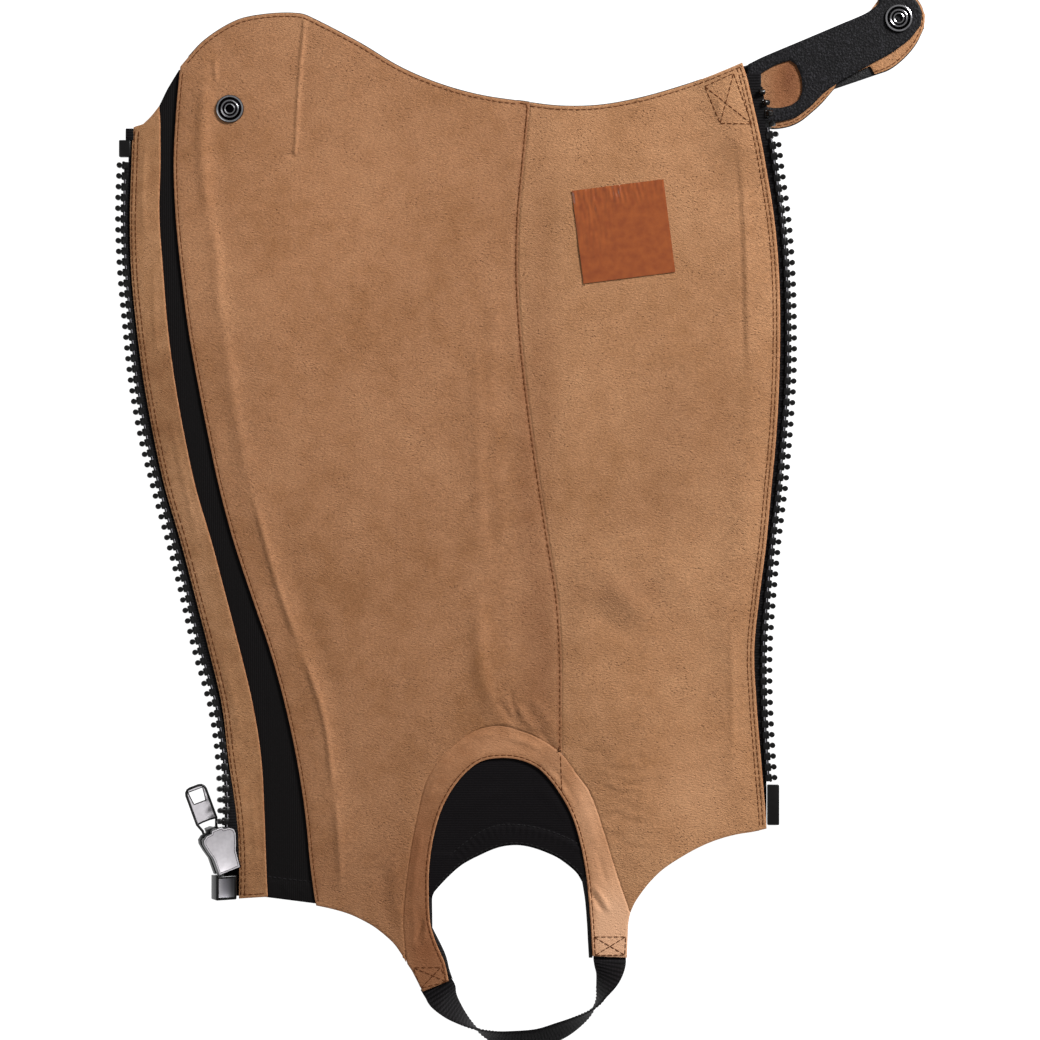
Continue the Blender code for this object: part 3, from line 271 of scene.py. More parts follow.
@dataclass
class Outline:
    """The outline of a flat solid as seen from above, and the form of its upper face."""

    node: str
    loops: list[Line] = field(default_factory=list)

    def __post_init__(self) -> None:
        """Read the solid's upper faces, its box and its border loops."""
        self.soft = None
        points, faces = node_arrays(self.node)
        first, second, third = (points[faces[:, i]] for i in range(3))
        normals = np.cross(second - first, third - first)
        normals /= np.maximum(np.linalg.norm(normals, axis=1), 1e-12)[:, None]
        upper = faces[normals[:, 2] > UPWARD]
        self.top = BVHTree.FromPolygons([tuple(p) for p in points], [tuple(f) for f in upper])
        self.low, self.high = points.min(axis=0), points.max(axis=0)
        self.loops = self.chained(points, upper)

    @staticmethod
    def chained(points: np.ndarray, faces: np.ndarray) -> list[Line]:
        """Join the border edges of a set of faces into loops.

        Args:
            points: the solid's points, in mm.
            faces: triangles of point numbers.

        Returns:
            The loops' x and y, the longest loop first.
        """
        ends = {}
        directed = {(f[i], f[(i + 1) % 3]) for f in faces for i in range(3)}
        for a, b in directed:
            if (b, a) not in directed:
                ends.setdefault(a, []).append(b)
        loops = []
        while ends:
            start = next(iter(ends))
            loop, here = [], start
            while here in ends:
                loop.append(here)
                after = ends[here].pop()
                if not ends[here]:
                    del ends[here]
                here = after
            loops.append(points[loop][:, :2])
        return sorted((loop for loop in loops if len(loop) > 3), key=loop_length, reverse=True)

    @staticmethod
    def softened(loop: Line, step: float, corner: float = 24.0) -> Line:
        """Resample a loop as smooth runs between its corners.

        Args:
            loop: the closed loop's points.
            step: spacing of the new points, in mm.
            corner: turns sharper than this many degrees stay corners.

        Returns:
            The new closed loop.
        """
        keep = [loop[0]]
        for spot in loop[1:]:
            if np.linalg.norm(spot - keep[-1]) > MERGE_GAP:
                keep.append(spot)
        loop = np.array(keep)
        back, ahead = loop - np.roll(loop, 1, axis=0), np.roll(loop, -1, axis=0) - loop
        cross = back[:, 0] * ahead[:, 1] - back[:, 1] * ahead[:, 0]
        turn = np.degrees(np.abs(np.arctan2(cross, (back * ahead).sum(axis=1))))
        corners = [i for i in range(len(loop)) if turn[i] > corner] or [0]
        loop = np.roll(loop, -corners[0], axis=0)
        marks = [i - corners[0] for i in corners] + [len(loop)]
        closed = np.vstack([loop, loop[:1]])
        runs = []
        for a, b in zip(marks, marks[1:]):
            run = closed[a:b + 1]
            thin = [run[0]]
            for spot in run[1:-1]:
                if np.linalg.norm(spot - thin[-1]) > THIN_GAP and np.linalg.norm(spot - run[-1]) > END_GAP:
                    thin.append(spot)
            thin.append(run[-1])
            line = rounded(thin, step / 3) if len(thin) > 2 else np.array(thin)
            runs.append(along(line, step)[:-1])
        return np.vstack(runs)

    def portion(self, start: Sequence[float], via: Sequence[float], end: Sequence[float],
                inset: float = 0.0) -> Line:
        """The outer loop's run from near one place to near another, moved inwards.

        Args:
            start: x and y near the first end.
            via: x and y near the run's middle, which settles the way round.
            end: x and y near the last end.
            inset: how far inside the edge the line runs, in mm.

        Returns:
            The line, from start to end.
        """
        if self.soft is None:
            self.soft = self.softened(self.loops[0], FINE_STEP)
        loop = self.soft
        count = len(loop)
        first, last = (int(np.argmin(np.linalg.norm(loop - np.array(p), axis=1))) for p in (start, end))
        ways = [[(first + i) % count for i in range((last - first) % count + 1)],
                [(first - i) % count for i in range((first - last) % count + 1)]]
        near = [np.linalg.norm(loop[way] - np.array(via), axis=1).min() for way in ways]
        picked = loop[ways[int(np.argmin(near))]]
        centre_side = 1 if near[0] <= near[1] else -1
        turning = 1 if loop_area(loop) > 0 else -1
        ahead = np.gradient(picked, axis=0)
        ahead /= np.maximum(np.linalg.norm(ahead, axis=1), 1e-9)[:, None]
        return picked + np.stack([-ahead[:, 1], ahead[:, 0]], axis=1) * (centre_side * turning * inset)

    def height(self, x: float, y: float) -> float:
        """Height of the upper face at a place, or of its nearest place outside the outline."""
        hit = self.top.ray_cast(Vector((x, y, CLEAR_ABOVE)), Vector((0, 0, -1)))[0]
        return hit.z if hit is not None else self.top.find_nearest(Vector((x, y, float(self.high[2]))))[0].z

    def smooth_height(self, pitch: float = 2.5, blur: int = 3) -> Callable[[np.ndarray], np.ndarray]:
        """A smooth function for the height of the upper face.

        Args:
            pitch: spacing of the samples, in mm.
            blur: rounds of smoothing over neighbouring samples.

        Returns:
            A function from places (x, y) to heights, in mm.
        """
        xs = np.arange(self.low[0] - 2 * pitch, self.high[0] + 3 * pitch, pitch)
        ys = np.arange(self.low[1] - 2 * pitch, self.high[1] + 3 * pitch, pitch)
        grid = np.array([[self.height(x, y) for x in xs] for y in ys])
        for _ in range(blur):
            for axis in (0, 1):
                pad = [(1, 1) if i == axis else (0, 0) for i in (0, 1)]
                wide = np.pad(grid, pad, mode="edge")
                take = [wide[1:-1] if axis == 0 else wide[:, 1:-1],
                        wide[:-2] if axis == 0 else wide[:, :-2], wide[2:] if axis == 0 else wide[:, 2:]]
                grid = 0.5 * take[0] + 0.25 * take[1] + 0.25 * take[2]

        def sample(xy: np.ndarray) -> np.ndarray:
            """Blend the four samples round each place.

            Args:
                xy: the places.

            Returns:
                Their heights.
            """
            u = np.clip((xy[:, 0] - xs[0]) / pitch, 0, len(xs) - 1.001)
            v = np.clip((xy[:, 1] - ys[0]) / pitch, 0, len(ys) - 1.001)
            i, j = u.astype(int), v.astype(int)
            fu, fv = u - i, v - j
            return ((grid[j, i] * (1 - fu) + grid[j, i + 1] * fu) * (1 - fv)
                    + (grid[j + 1, i] * (1 - fu) + grid[j + 1, i + 1] * fu) * fv)

        return sample


# ------------ finishes
def node(tree: bpy.types.NodeTree, kind: str, links: dict[Any, Any] | None = None,
         values: dict[Any, Any] | None = None, stops: Sequence[tuple[float, Any]] = (),
         **settings: Any) -> bpy.types.Node:
    """Add one shader node.

    Args:
        tree: the material's node tree.
        kind: the node's type, without its ShaderNode prefix.
        links: input name or number to the output socket that feeds it.
        values: input name or number to its constant.
        stops: (place, grey or colour) of each stop of a colour ramp.
        settings: the node's own properties.

    Returns:
        The new node.
    """
    made = tree.nodes.new("ShaderNode" + kind)
    for key, value in settings.items():
        setattr(made, key, value)
    for key, value in (values or {}).items():
        made.inputs[key].default_value = value
    for key, socket in (links or {}).items():
        tree.links.new(socket, made.inputs[key])
    if stops:
        bar = made.color_ramp.elements
        while len(bar) < len(stops):
            bar.new(0.5)
        for element, (place, colour) in zip(bar, stops):
            element.position = place
            element.color = (colour, colour, colour, 1.0) if isinstance(colour, float) else colour
    return made


def new_material(name: str) -> tuple[bpy.types.Material, bpy.types.NodeTree, bpy.types.Node]:
    """Start a new material.

    Args:
        name: its name.

    Returns:
        The material, its node tree and its Principled shader.
    """
    made = bpy.data.materials.new(name)
    made.use_nodes = True
    return made, made.node_tree, made.node_tree.nodes["Principled BSDF"]


@dataclass(frozen=True)
class Pigskin:
    """Sueded pigskin lining: softly mottled tan, a fine dry grain, and pores in short dark ticks, with painted
    light and shade from each sheet's 'shade' attribute.
    """

    name: str
    light: str
    middle: str
    dark: str
    pore_spacing: float         # mm between pores
    pore_strength: float        # how far a pore's tick turns to its dark brown
    speckle: float              # share by which the fine grain darkens the dye
    grain: float                # bump of the fine pebble
    nap: float = 1.75           # how much longer the grain is than wide
    lean: float = 0.45          # which way the grain lies, in radians

    def build(self) -> bpy.types.Material:
        """Make the material.

        Returns:
            The material.
        """
        made, tree, shader = new_material(self.name)
        place = node(tree, "TexCoord").outputs["Object"]
        lying = node(tree, "Mapping", {"Vector": place},
                     {"Rotation": (0, 0, self.lean), "Scale": (1.0, self.nap, 1.0)}).outputs[0]
        cloud = node(tree, "TexNoise", {"Vector": place}, {"Scale": 16.0, "Detail": 3.0, "Roughness": 0.55})
        mottle = node(tree, "TexNoise", {"Vector": place}, {"Scale": 120.0, "Detail": 3.0, "Roughness": 0.6})
        tone = node(tree, "Mix", {2: cloud.outputs["Fac"], 3: mottle.outputs["Fac"]}, {0: 0.40})
        body = node(tree, "ValToRGB", {0: tone.outputs[0]},
                    stops=((0.35, linear(self.dark)), (0.52, linear(self.middle)), (0.69, linear(self.light))))
        scale = 1.0 / (self.pore_spacing * MM)
        pores = node(tree, "TexVoronoi", {"Vector": lying}, {"Scale": scale, "Randomness": 0.95})
        patchy = node(tree, "TexNoise", {"Vector": place}, {"Scale": 85.0, "Detail": 2.0})
        presence = node(tree, "ValToRGB", {0: patchy.outputs["Fac"]}, stops=((0.42, 0.15), (0.60, 1.0)))
        tick = node(tree, "ValToRGB", {0: pores.outputs["Distance"]}, stops=((0.05, 1.0), (0.26, 0.0)))
        amount = node(tree, "Math", {0: tick.outputs[0], 1: presence.outputs[0]}, operation="MULTIPLY")
        weight = node(tree, "Math", {0: amount.outputs[0]}, {1: self.pore_strength}, operation="MULTIPLY")
        tinted = node(tree, "Mix", {0: weight.outputs[0], 6: body.outputs[0]}, {7: linear("#6A4229")},
                      data_type="RGBA")
        pebble = node(tree, "TexNoise", {"Vector": lying},
                      {"Scale": 820.0, "Detail": 4.0, "Roughness": 0.7, "Distortion": 0.3})
        dry = node(tree, "MapRange", {0: pebble.outputs["Fac"]},
                   {1: 0.3, 2: 0.7, 3: 1 - self.speckle, 4: 1 + self.speckle})
        # painted light and shade: the sheet's 'shade' attribute scales the colour
        shade = node(tree, "Attribute", attribute_name="shade").outputs["Fac"]
        lit = node(tree, "Math", {0: shade, 1: dry.outputs[0]}, operation="ADD")
        colour = node(tree, "VectorMath", {0: tinted.outputs[2], 3: lit.outputs[0]}, operation="SCALE")
        # painted light: where it is strong the colour turns lighter and yellower
        painted_light_share = node(tree, "MapRange", {0: shade}, {1: 0.10, 2: 0.80, 3: 0.0, 4: 0.70})
        painted_light_tint = node(tree, "Mix", {0: painted_light_share.outputs[0], 6: colour.outputs[0]}, {7: linear("#E3B592")},
                     data_type="RGBA")
        # painted shade: where it is deep the colour turns more red
        deep = node(tree, "MapRange", {0: shade}, {1: -0.03, 2: -0.40, 3: 0.0, 4: 0.55})
        painted_shade_tint = node(tree, "Mix", {0: deep.outputs[0], 6: painted_light_tint.outputs[2]}, {7: linear("#8B4F28")},
                      data_type="RGBA")
        tree.links.new(painted_shade_tint.outputs[2], shader.inputs["Base Color"])
        sunk = node(tree, "Math", {0: amount.outputs[0]}, {1: -0.7}, operation="MULTIPLY")
        relief = node(tree, "Math", {0: pebble.outputs["Fac"], 1: sunk.outputs[0]}, operation="ADD")
        bump = node(tree, "Bump", {"Height": relief.outputs[0]},
                    {"Strength": self.grain, "Distance": 0.0006})
        tree.links.new(bump.outputs[0], shader.inputs["Normal"])
        shader.inputs["Roughness"].default_value = 0.72
        shader.inputs["Specular IOR Level"].default_value = 0.30
        return made


@dataclass(frozen=True)
class BlackLeather:
    """Black finished cowhide: a fine pebbled grain with a low satin gloss."""

    name: str = "black_cowhide"
    colour: str = "#100F10"
    fleck: str = "#29282A"
    grain_mm: float = 0.8
    gloss: float = 0.25

    def build(self) -> bpy.types.Material:
        """Make the material.

        Returns:
            The material.
        """
        made, tree, shader = new_material(self.name)
        place = node(tree, "TexCoord").outputs["Object"]
        cells = node(tree, "TexVoronoi", {"Vector": place}, {"Scale": 1.0 / (self.grain_mm * MM)})
        fine = node(tree, "TexNoise", {"Vector": place}, {"Scale": 1500.0, "Detail": 2.0})
        tint = node(tree, "ValToRGB", {0: fine.outputs["Fac"]},
                    stops=((0.52, linear(self.colour)), (0.72, linear(self.fleck))))
        tree.links.new(tint.outputs[0], shader.inputs["Base Color"])
        relief = node(tree, "Math", {0: cells.outputs["Distance"], 1: fine.outputs["Fac"]}, operation="ADD")
        bump = node(tree, "Bump", {"Height": relief.outputs[0]}, {"Strength": 0.5, "Distance": 0.0003})
        tree.links.new(bump.outputs[0], shader.inputs["Normal"])
        shader.inputs["Roughness"].default_value = 0.55
        shader.inputs["Specular IOR Level"].default_value = self.gloss
        return made


class Weave(Enum):
    """Which way a fabric's ribs run."""

    LENGTHWISE = "X"
    CROSSWISE = "Y"


@dataclass(frozen=True)
class Knit:
    """Black knitted or woven fabric: close even ribs whose crowns are painted a little lighter, a painted
    highlight, and painted light and shade from the piece's 'shade' attribute.
    """

    name: str
    colour: str
    crown: str
    rib_mm: float               # real ribs are about half this, too fine to show
    ribs: Weave
    bump: float = 0.5
    roughness: float = 0.8

    def build(self) -> bpy.types.Material:
        """Make the material.

        Returns:
            The material.
        """
        made, tree, shader = new_material(self.name)
        place = node(tree, "TexCoord").outputs["Object"]
        wave = node(tree, "TexWave", {"Vector": place},
                    {"Scale": 2 * math.pi / (self.rib_mm * MM) / 20, "Distortion": 0.6, "Detail": 1.0,
                     "Detail Scale": 6.0},
                    wave_type="BANDS", bands_direction=self.ribs.value, wave_profile="SIN")
        cross = node(tree, "TexNoise", {"Vector": place}, {"Scale": 1300.0, "Detail": 2.0})
        mixed = node(tree, "Math", {0: wave.outputs["Fac"], 1: cross.outputs["Fac"]}, operation="MULTIPLY")
        # the crown colour is a painted highlight on each rib
        tint = node(tree, "ValToRGB", {0: mixed.outputs[0]},
                    stops=((0.15, linear(self.colour)), (0.75, linear(self.crown))))
        # painted light and shade from the piece's 'shade' attribute scales the colour
        shade = node(tree, "Attribute", attribute_name="shade").outputs["Fac"]
        lit = node(tree, "Math", {0: shade}, {1: 1.0}, operation="ADD")
        colour = node(tree, "VectorMath", {0: tint.outputs[0], 3: lit.outputs[0]}, operation="SCALE")
        tree.links.new(colour.outputs[0], shader.inputs["Base Color"])
        bump = node(tree, "Bump", {"Height": mixed.outputs[0]}, {"Strength": self.bump, "Distance": 0.0003})
        tree.links.new(bump.outputs[0], shader.inputs["Normal"])
        shader.inputs["Roughness"].default_value = self.roughness
        shader.inputs["Specular IOR Level"].default_value = 0.12
        return made


@dataclass(frozen=True)
class PaintedReflectionPlate:
    """Plated face with a painted reflection: a gradient across X from a bright window on one side to darkness
    on the other.
    """

    name: str = "retainer_plating"
    bright: str = "#D2D0D3"
    middle: str = "#86848A"
    dark: str = "#3A393B"
    left: float = -140.5        # x at which the bright side starts, in mm
    right: float = -131.5       # x at which the dark side ends

    def build(self) -> bpy.types.Material:
        """Make the material.

        Returns:
            The material.
        """
        made, tree, shader = new_material(self.name)
        place = node(tree, "SeparateXYZ", {0: node(tree, "TexCoord").outputs["Object"]})
        share = node(tree, "MapRange", {0: place.outputs["X"]}, {1: self.left * MM, 2: self.right * MM})
        tint = node(tree, "ValToRGB", {0: share.outputs[0]},
                    stops=((0.10, linear(self.bright)), (0.55, linear(self.middle)), (0.95, linear(self.dark))))
        scuffs = node(tree, "TexNoise", {}, {"Scale": 700.0, "Detail": 3.0})
        bump = node(tree, "Bump", {"Height": scuffs.outputs["Fac"]}, {"Strength": 0.1, "Distance": 0.0002})
        tree.links.new(tint.outputs[0], shader.inputs["Base Color"])
        tree.links.new(bump.outputs[0], shader.inputs["Normal"])
        shader.inputs["Metallic"].default_value = 0.5
        shader.inputs["Roughness"].default_value = 0.4
        return made


@dataclass(frozen=True)
class Plain:
    """A moulded, cast or spun material: one colour broken up by a faint handling haze."""

    name: str
    colour: str
    haze: str
    roughness: float
    metallic: float = 0.0
    bump: float = 0.05
    scale: float = 600.0
    coat: float = 0.0
    gloss: float = 0.5          # specular level: 0.5 is the usual index of 1.5

    def build(self) -> bpy.types.Material:
        """Make the material.

        Returns:
            The material.
        """
        made, tree, shader = new_material(self.name)
        place = node(tree, "TexCoord").outputs["Object"]
        cloud = node(tree, "TexNoise", {"Vector": place}, {"Scale": self.scale, "Detail": 3.0})
        tint = node(tree, "ValToRGB", {0: cloud.outputs["Fac"]},
                    stops=((0.35, linear(self.colour)), (0.70, linear(self.haze))))
        tree.links.new(tint.outputs[0], shader.inputs["Base Color"])
        bump = node(tree, "Bump", {"Height": cloud.outputs["Fac"]},
                    {"Strength": self.bump, "Distance": 0.0002})
        tree.links.new(bump.outputs[0], shader.inputs["Normal"])
        shader.inputs["Roughness"].default_value = self.roughness
        shader.inputs["Metallic"].default_value = self.metallic
        shader.inputs["Coat Weight"].default_value = self.coat
        shader.inputs["Specular IOR Level"].default_value = self.gloss
        return made


# sueded pigskin: dry and matt, and a little darker on the front than on the inner leg
LINING = Pigskin("pigskin_lining", "#B07F59", "#A67550", "#976741", 1.9, 0.65, 0.28, 0.9)
LINING_RIGHT = Pigskin("pigskin_lining_inner", "#BA8961", "#AF7E57", "#A07049", 1.9, 0.7, 0.25, 1.0)
# smoother strips of the same hide; the brushed one's nap leans across, so it looks streaked
FACING = Pigskin("pigskin_facing", "#B98660", "#A97752", "#976642", 1.9, 0.35, 0.20, 0.6)
BRUSHED = Pigskin("pigskin_facing_brushed", "#B2835D", "#A2744E", "#8D5F3B", 2.4, 0.35, 0.26, 0.9, 3.2, -1.1)
CUT_EDGE = Plain("cut_pigskin_edge", "#B98560", "#95603F", 0.8, gloss=0.1)      # raw and chalky
COWHIDE = BlackLeather()
BACKING = BlackLeather("black_split_backing", "#0C0B0D", "#2C2B2F", 1.1, 0.14)  # fuzzier, with pale flecks
# knitted and woven black: hardly any gloss, and ribs that show only where the light rakes them
ELASTIC = Knit("ribbed_elastic", "#0D0B0B", "#161314", 0.9, Weave.LENGTHWISE)
STRETCH = Knit("stretch_gusset", "#0B080A", "#151214", 0.8, Weave.CROSSWISE)
TAPE = Knit("woven_zip_tape", "#0B0A0B", "#1D1B1D", 1.3, Weave.CROSSWISE, 0.9)
WEBBING = Knit("nylon_webbing", "#0C0A0C", "#201E20", 0.7, Weave.LENGTHWISE, 0.3, 0.7)
ACETAL = Plain("moulded_acetal", "#080707", "#0D0C0C", 0.3, gloss=0.35)         # black, with small glints
# die-cast zinc: a pale satin face, and a near-black copy that paints shade on the slider's flanks and the
# pull's beads
ZINC = Plain("satin_zinc", "#CFCBCF", "#C4C0C4", 0.42, 0.35, 0.03)
ZINC_PAINTED_SHADE = Plain("zinc_with_painted_shade", "#151415", "#0B0B0B", 0.35, gloss=0.3)
# the retainer box's plate: a painted reflection, bright at its left and dark at its right
BOX_FACE = PaintedReflectionPlate()
# spun and plated brass: pale rings that mirror the light, and a near-black copy that paints shade on the rings
# between them
NICKEL = Plain("black_nickel", "#C6C5C8", "#AEADB0", 0.16, 1.0, 0.02)
SNAP_PAINTED_SHADE = Plain("black_nickel_with_painted_shade", "#1B1A1C", "#111012", 0.22, 1.0, 0.02)
# twisted thread: its coarse, strong bump breaks up each stitch
THREAD = Plain("bonded_thread", "#55301A", "#6B4025", 0.8, 0.0, 0.3, 2500.0, gloss=0.1)
# pale bars between the zip's teeth: painted highlights on the teeth's shoulders
ZIP_PAINTED_HIGHLIGHT = Plain("zip_painted_highlight_fleck", "#8C8A90", "#66646A", 0.6, 0.0, 0.3, 2500.0)
BLACK_THREAD = Plain("black_thread", "#161415", "#242224", 0.7, 0.0, 0.3, 2500.0, gloss=0.15)
# heat-pressed foil: a wet-looking film that glints on each wrinkle
FOIL = Plain("glossy_transfer_foil", "#974A16", "#863C0C", 0.18, 0.0, 0.05, 260.0, 1.0, 0.6)


@dataclass
class Wardrobe:
    """Builds each finish once and hands it out."""

    made: dict[str, bpy.types.Material] = field(default_factory=dict)

    def get(self, finish: Any) -> bpy.types.Material:
        """The material of a finish, made when first asked for.

        Args:
            finish: the finish.

        Returns:
            Its one material.
        """
        if finish.name not in self.made:
            self.made[finish.name] = finish.build()
        return self.made[finish.name]


FINISHES = Wardrobe()


def dress(obj: Piece, slot: str, *finishes: Any, body: str = BODY) -> Piece:
    """Give a piece its materials and the body that it rides on.

    Args:
        obj: the piece.
        slot: not used.
        finishes: its finishes, the first for faces with material number 0.
        body: the body that carries it.

    Returns:
        The same piece.
    """
    numbers = [p.material_index for p in obj.data.polygons]
    obj.data.materials.clear()
    for finish in finishes:
        obj.data.materials.append(FINISHES.get(finish))
    obj.data.polygons.foreach_set("material_index", [min(n, len(finishes) - 1) for n in numbers])
    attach(obj, body)
    return obj


# ------------ sheets
STITCH_PITCH = 2.9      # from stitch to stitch on the leather, mm
CREASE_STEP = 3.0       # from point to point along a crease, mm
NARROW_CREASE = 1.7     # creases narrower than this get a finer grid, mm
EDGE_STEP = 1.6         # from point to point along a cut edge, mm
MEET_REACH = 0.6        # an edge is let out where it lies this near to a sewn run, mm
CALM_EDGE = 6.0         # width of the margin in which waves fade out, mm
ROLL_WIDTH = 0.9        # width of the rolled edge, mm
GROOVE_SHADE = 0.55     # painted shade in a stitched groove, per mm of its depth
TIP_REACH = 0.45        # a point this far past the outline is drawn back, mm
WELD = 0.00002          # points closer than this become one, metres
BAND_SHARE = 0.32       # a sheet that fills less of its box than this is a narrow band
BAND_SPREAD = 1.25      # a band's greatest width over its mean width
BAND_LEAST = 10.0       # and the least width that it is given, mm


@dataclass(frozen=True)
class Crease:
    """A soft ridge (positive height) or trough (negative) along a few points, in mm."""

    points: Spots
    height: float
    width: float
    taper: float = 0.3   # share of the length over which each end fades

    def relief(self, xy: np.ndarray) -> np.ndarray:
        """Its height at each place.

        Args:
            xy: the places, in mm.

        Returns:
            The heights that it adds, in mm.
        """
        line = rounded(self.points, CREASE_STEP)
        reach = 2.6 * self.width   # only a thousandth of its height is left there
        near = ((xy > line.min(axis=0) - reach) & (xy < line.max(axis=0) + reach)).all(axis=1)
        relief = np.zeros(len(xy))
        gap, share = distance_to(line, xy[near])
        fade = ease(share, 0.0, self.taper) * (1 - ease(share, 1 - self.taper, 1.0))
        relief[near] = self.height * np.exp(-(gap / self.width) ** 2) * fade
        return relief


@dataclass(frozen=True)
class Patch:
    """A soft area of painted light (positive) or painted shade (negative), in mm."""

    x: float
    y: float
    wide: float
    tall: float
    tone: float

    def shade(self, xy: np.ndarray) -> np.ndarray:
        """Its tone at each place."""
        across, up = (xy[:, 0] - self.x) / self.wide, (xy[:, 1] - self.y) / self.tall
        return self.tone * np.exp(-across ** 2 - up ** 2)


@dataclass(frozen=True)
class Row:
    """A row of stitches beside a sheet's edge: where it runs, and the groove that it pulls."""

    start: tuple[float, float]
    via: tuple[float, float]
    end: tuple[float, float]
    inset: float                # from the edge, mm
    depth: float
    half_width: float = 0.55

    def line(self, outline: Outline) -> Line:
        """The row's line on a sheet with this outline."""
        return outline.portion(self.start, self.via, self.end, self.inset)

    def relief(self, outline: Outline, xy: np.ndarray) -> np.ndarray:
        """The groove along the row, deeper at each needle hole.

        Args:
            outline: the outline of the sheet's solid.
            xy: the places, in mm.

        Returns:
            The heights that it adds there, none above 0, in mm.
        """
        line = self.line(outline)
        gap, share = distance_to(line, xy)
        length = float(np.linalg.norm(np.diff(line, axis=0), axis=1).sum())
        pucker = 0.75 + 0.25 * np.cos(2 * math.pi * share * length / STITCH_PITCH)
        return -self.depth * pucker * np.exp(-(gap / self.half_width) ** 2)


@dataclass
class ClothPanel:
    """One cut piece: a divided sheet on its own solid, with creases, a rolled edge and its painted light and
    shade.
    """

    node: str
    slot: str
    finish: Any
    edge_finish: Any
    thick: float = 1.0
    spacing: float = 2.2
    creases: tuple[Crease, ...] = ()
    patches: tuple[Patch, ...] = ()
    waviness: float = 0.0       # height of the waves all over it, mm
    roll: float = 0.30          # how far the edge is rounded down, mm
    rim: float = 0.45           # width of the cut edge that shows from above, mm
    bright_rim: tuple[Spots, ...] = ()           # start, via, end of each run of it
    holes: bool = False
    extra: Callable[[np.ndarray], np.ndarray] | None = None
    seed: float = 0.0
    lies_on: tuple[str, ...] = ("table",)
    meets: tuple[tuple[Any, ...], ...] = ()      # start, via, end of a run, and how far it is let out, mm
    moved: tuple[tuple[float, float, float, float], ...] = ()   # near x, y: its shift in x and y, mm
    rows: tuple[Row, ...] = ()
    edge_cuts: tuple[float, ...] = (0.4, 0.5)    # widths of the faces along the edge, mm
    obj: Piece | None = None

    def ring(self, outline: Outline) -> list[Line]:
        """The piece's edges.

        Args:
            outline: the outline of its solid.

        Returns:
            The outer loop, then its hole if it keeps one.
        """
        outer = outline.softened(outline.loops[0], EDGE_STEP)
        side = np.roll(outer, -1, axis=0) - np.roll(outer, 1, axis=0)
        side /= np.maximum(np.linalg.norm(side, axis=1), 1e-9)[:, None]
        turning = 1 if loop_area(outer) > 0 else -1
        out = np.stack([side[:, 1], -side[:, 0]], axis=1) * turning
        let_out = np.zeros(len(outer))
        for start, via, end, amount in self.meets:
            near = distance_to(outline.portion(start, via, end), outer)[0] < MEET_REACH
            let_out[near] = np.maximum(let_out[near], amount)
        outer = outer + out * let_out[:, None]
        for x, y, right, up in self.moved:
            outer[int(np.argmin(np.linalg.norm(outer - np.array((x, y)), axis=1)))] += (right, up)
        loops = [outer]
        if self.holes:
            loops += [outline.softened(loop, FINE_STEP) for loop in outline.loops[1:2]]
        return loops

    def flat_face(self, loops: list[Line]) -> Piece:
        """One flat face inside the edges, with a slit to its hole that is welded later.

        Args:
            loops: the outer loop, and the hole's if there is one.

        Returns:
            The face.
        """
        outer = loops[0]
        if len(loops) > 1:
            inner = loops[1]
            gaps = np.linalg.norm(outer[:, None] - inner[None], axis=2)
            i, j = np.unravel_index(np.argmin(gaps), gaps.shape)
            outer = np.vstack([np.roll(outer, -i, axis=0), outer[i:i + 1], np.roll(inner, -j, axis=0),
                               inner[j:j + 1]])
        points = np.column_stack([outer, np.zeros(len(outer))]) * MM
        return mesh_piece(self.node + "_cloth", points, [range(len(points))])

    def divide(self, obj: Piece) -> None:
        """Cut the face into an even grid with planes across and along it.

        Args:
            obj: the face.
        """
        only(obj)
        corners = np.array([v.co[:] for v in obj.data.vertices])
        low, high = corners.min(axis=0), corners.max(axis=0)
        bpy.ops.object.mode_set(mode="EDIT")
        step = self.spacing * MM
        bm = bmesh.from_edit_mesh(obj.data)
        for axis in (1, 0):
            normal = (1, 0, 0) if axis == 0 else (0, 1, 0)
            start = (math.floor(low[axis] / step) + 1) * step + 0.137 * step   # off the edge's own points
            for place in np.arange(start, high[axis], step):
                spot = (place, 0, 0) if axis == 0 else (0, place, 0)
                bmesh.ops.bisect_plane(bm, geom=bm.verts[:] + bm.edges[:] + bm.faces[:], plane_co=spot,
                                       plane_no=normal)
        bmesh.update_edit_mesh(obj.data)
        bpy.ops.mesh.select_all(action="SELECT")
        bpy.ops.mesh.remove_doubles(threshold=WELD)
        bpy.ops.object.mode_set(mode="OBJECT")

    def form(self, xy: np.ndarray, gap: np.ndarray, outline: Outline) -> tuple[np.ndarray, np.ndarray]:
        """Work out how high the sheet lies, and its painted light and shade.

        Args:
            xy: the places of its points, in mm.
            gap: how far each lies from the edge, in mm.
            outline: the outline of its solid.

        Returns:
            The height in mm and the tone of each point.
        """
        z = outline.smooth_height()(xy)
        for crease in self.creases:
            z += crease.relief(xy)
        if self.waviness:
            wave = np.array([noise.noise(Vector((x / 23 + self.seed, y / 31, 0.0)))
                             + 0.5 * noise.noise(Vector((x / 9, y / 12, 5.0 + self.seed))) for x, y in xy])
            z += self.waviness * wave * ease(gap, 0.0, CALM_EDGE)
        if self.extra:
            z += self.extra(xy)
        tone = np.zeros(len(xy))
        for row in self.rows:
            groove = row.relief(outline, xy)
            z += groove
            # painted shade in the stitched groove
            tone += GROOVE_SHADE * groove
        z -= self.roll * (1 - ease(gap, 0.0, ROLL_WIDTH)) ** 1.5
        for patch in self.patches:
            tone += patch.shade(xy)
        return z, tone

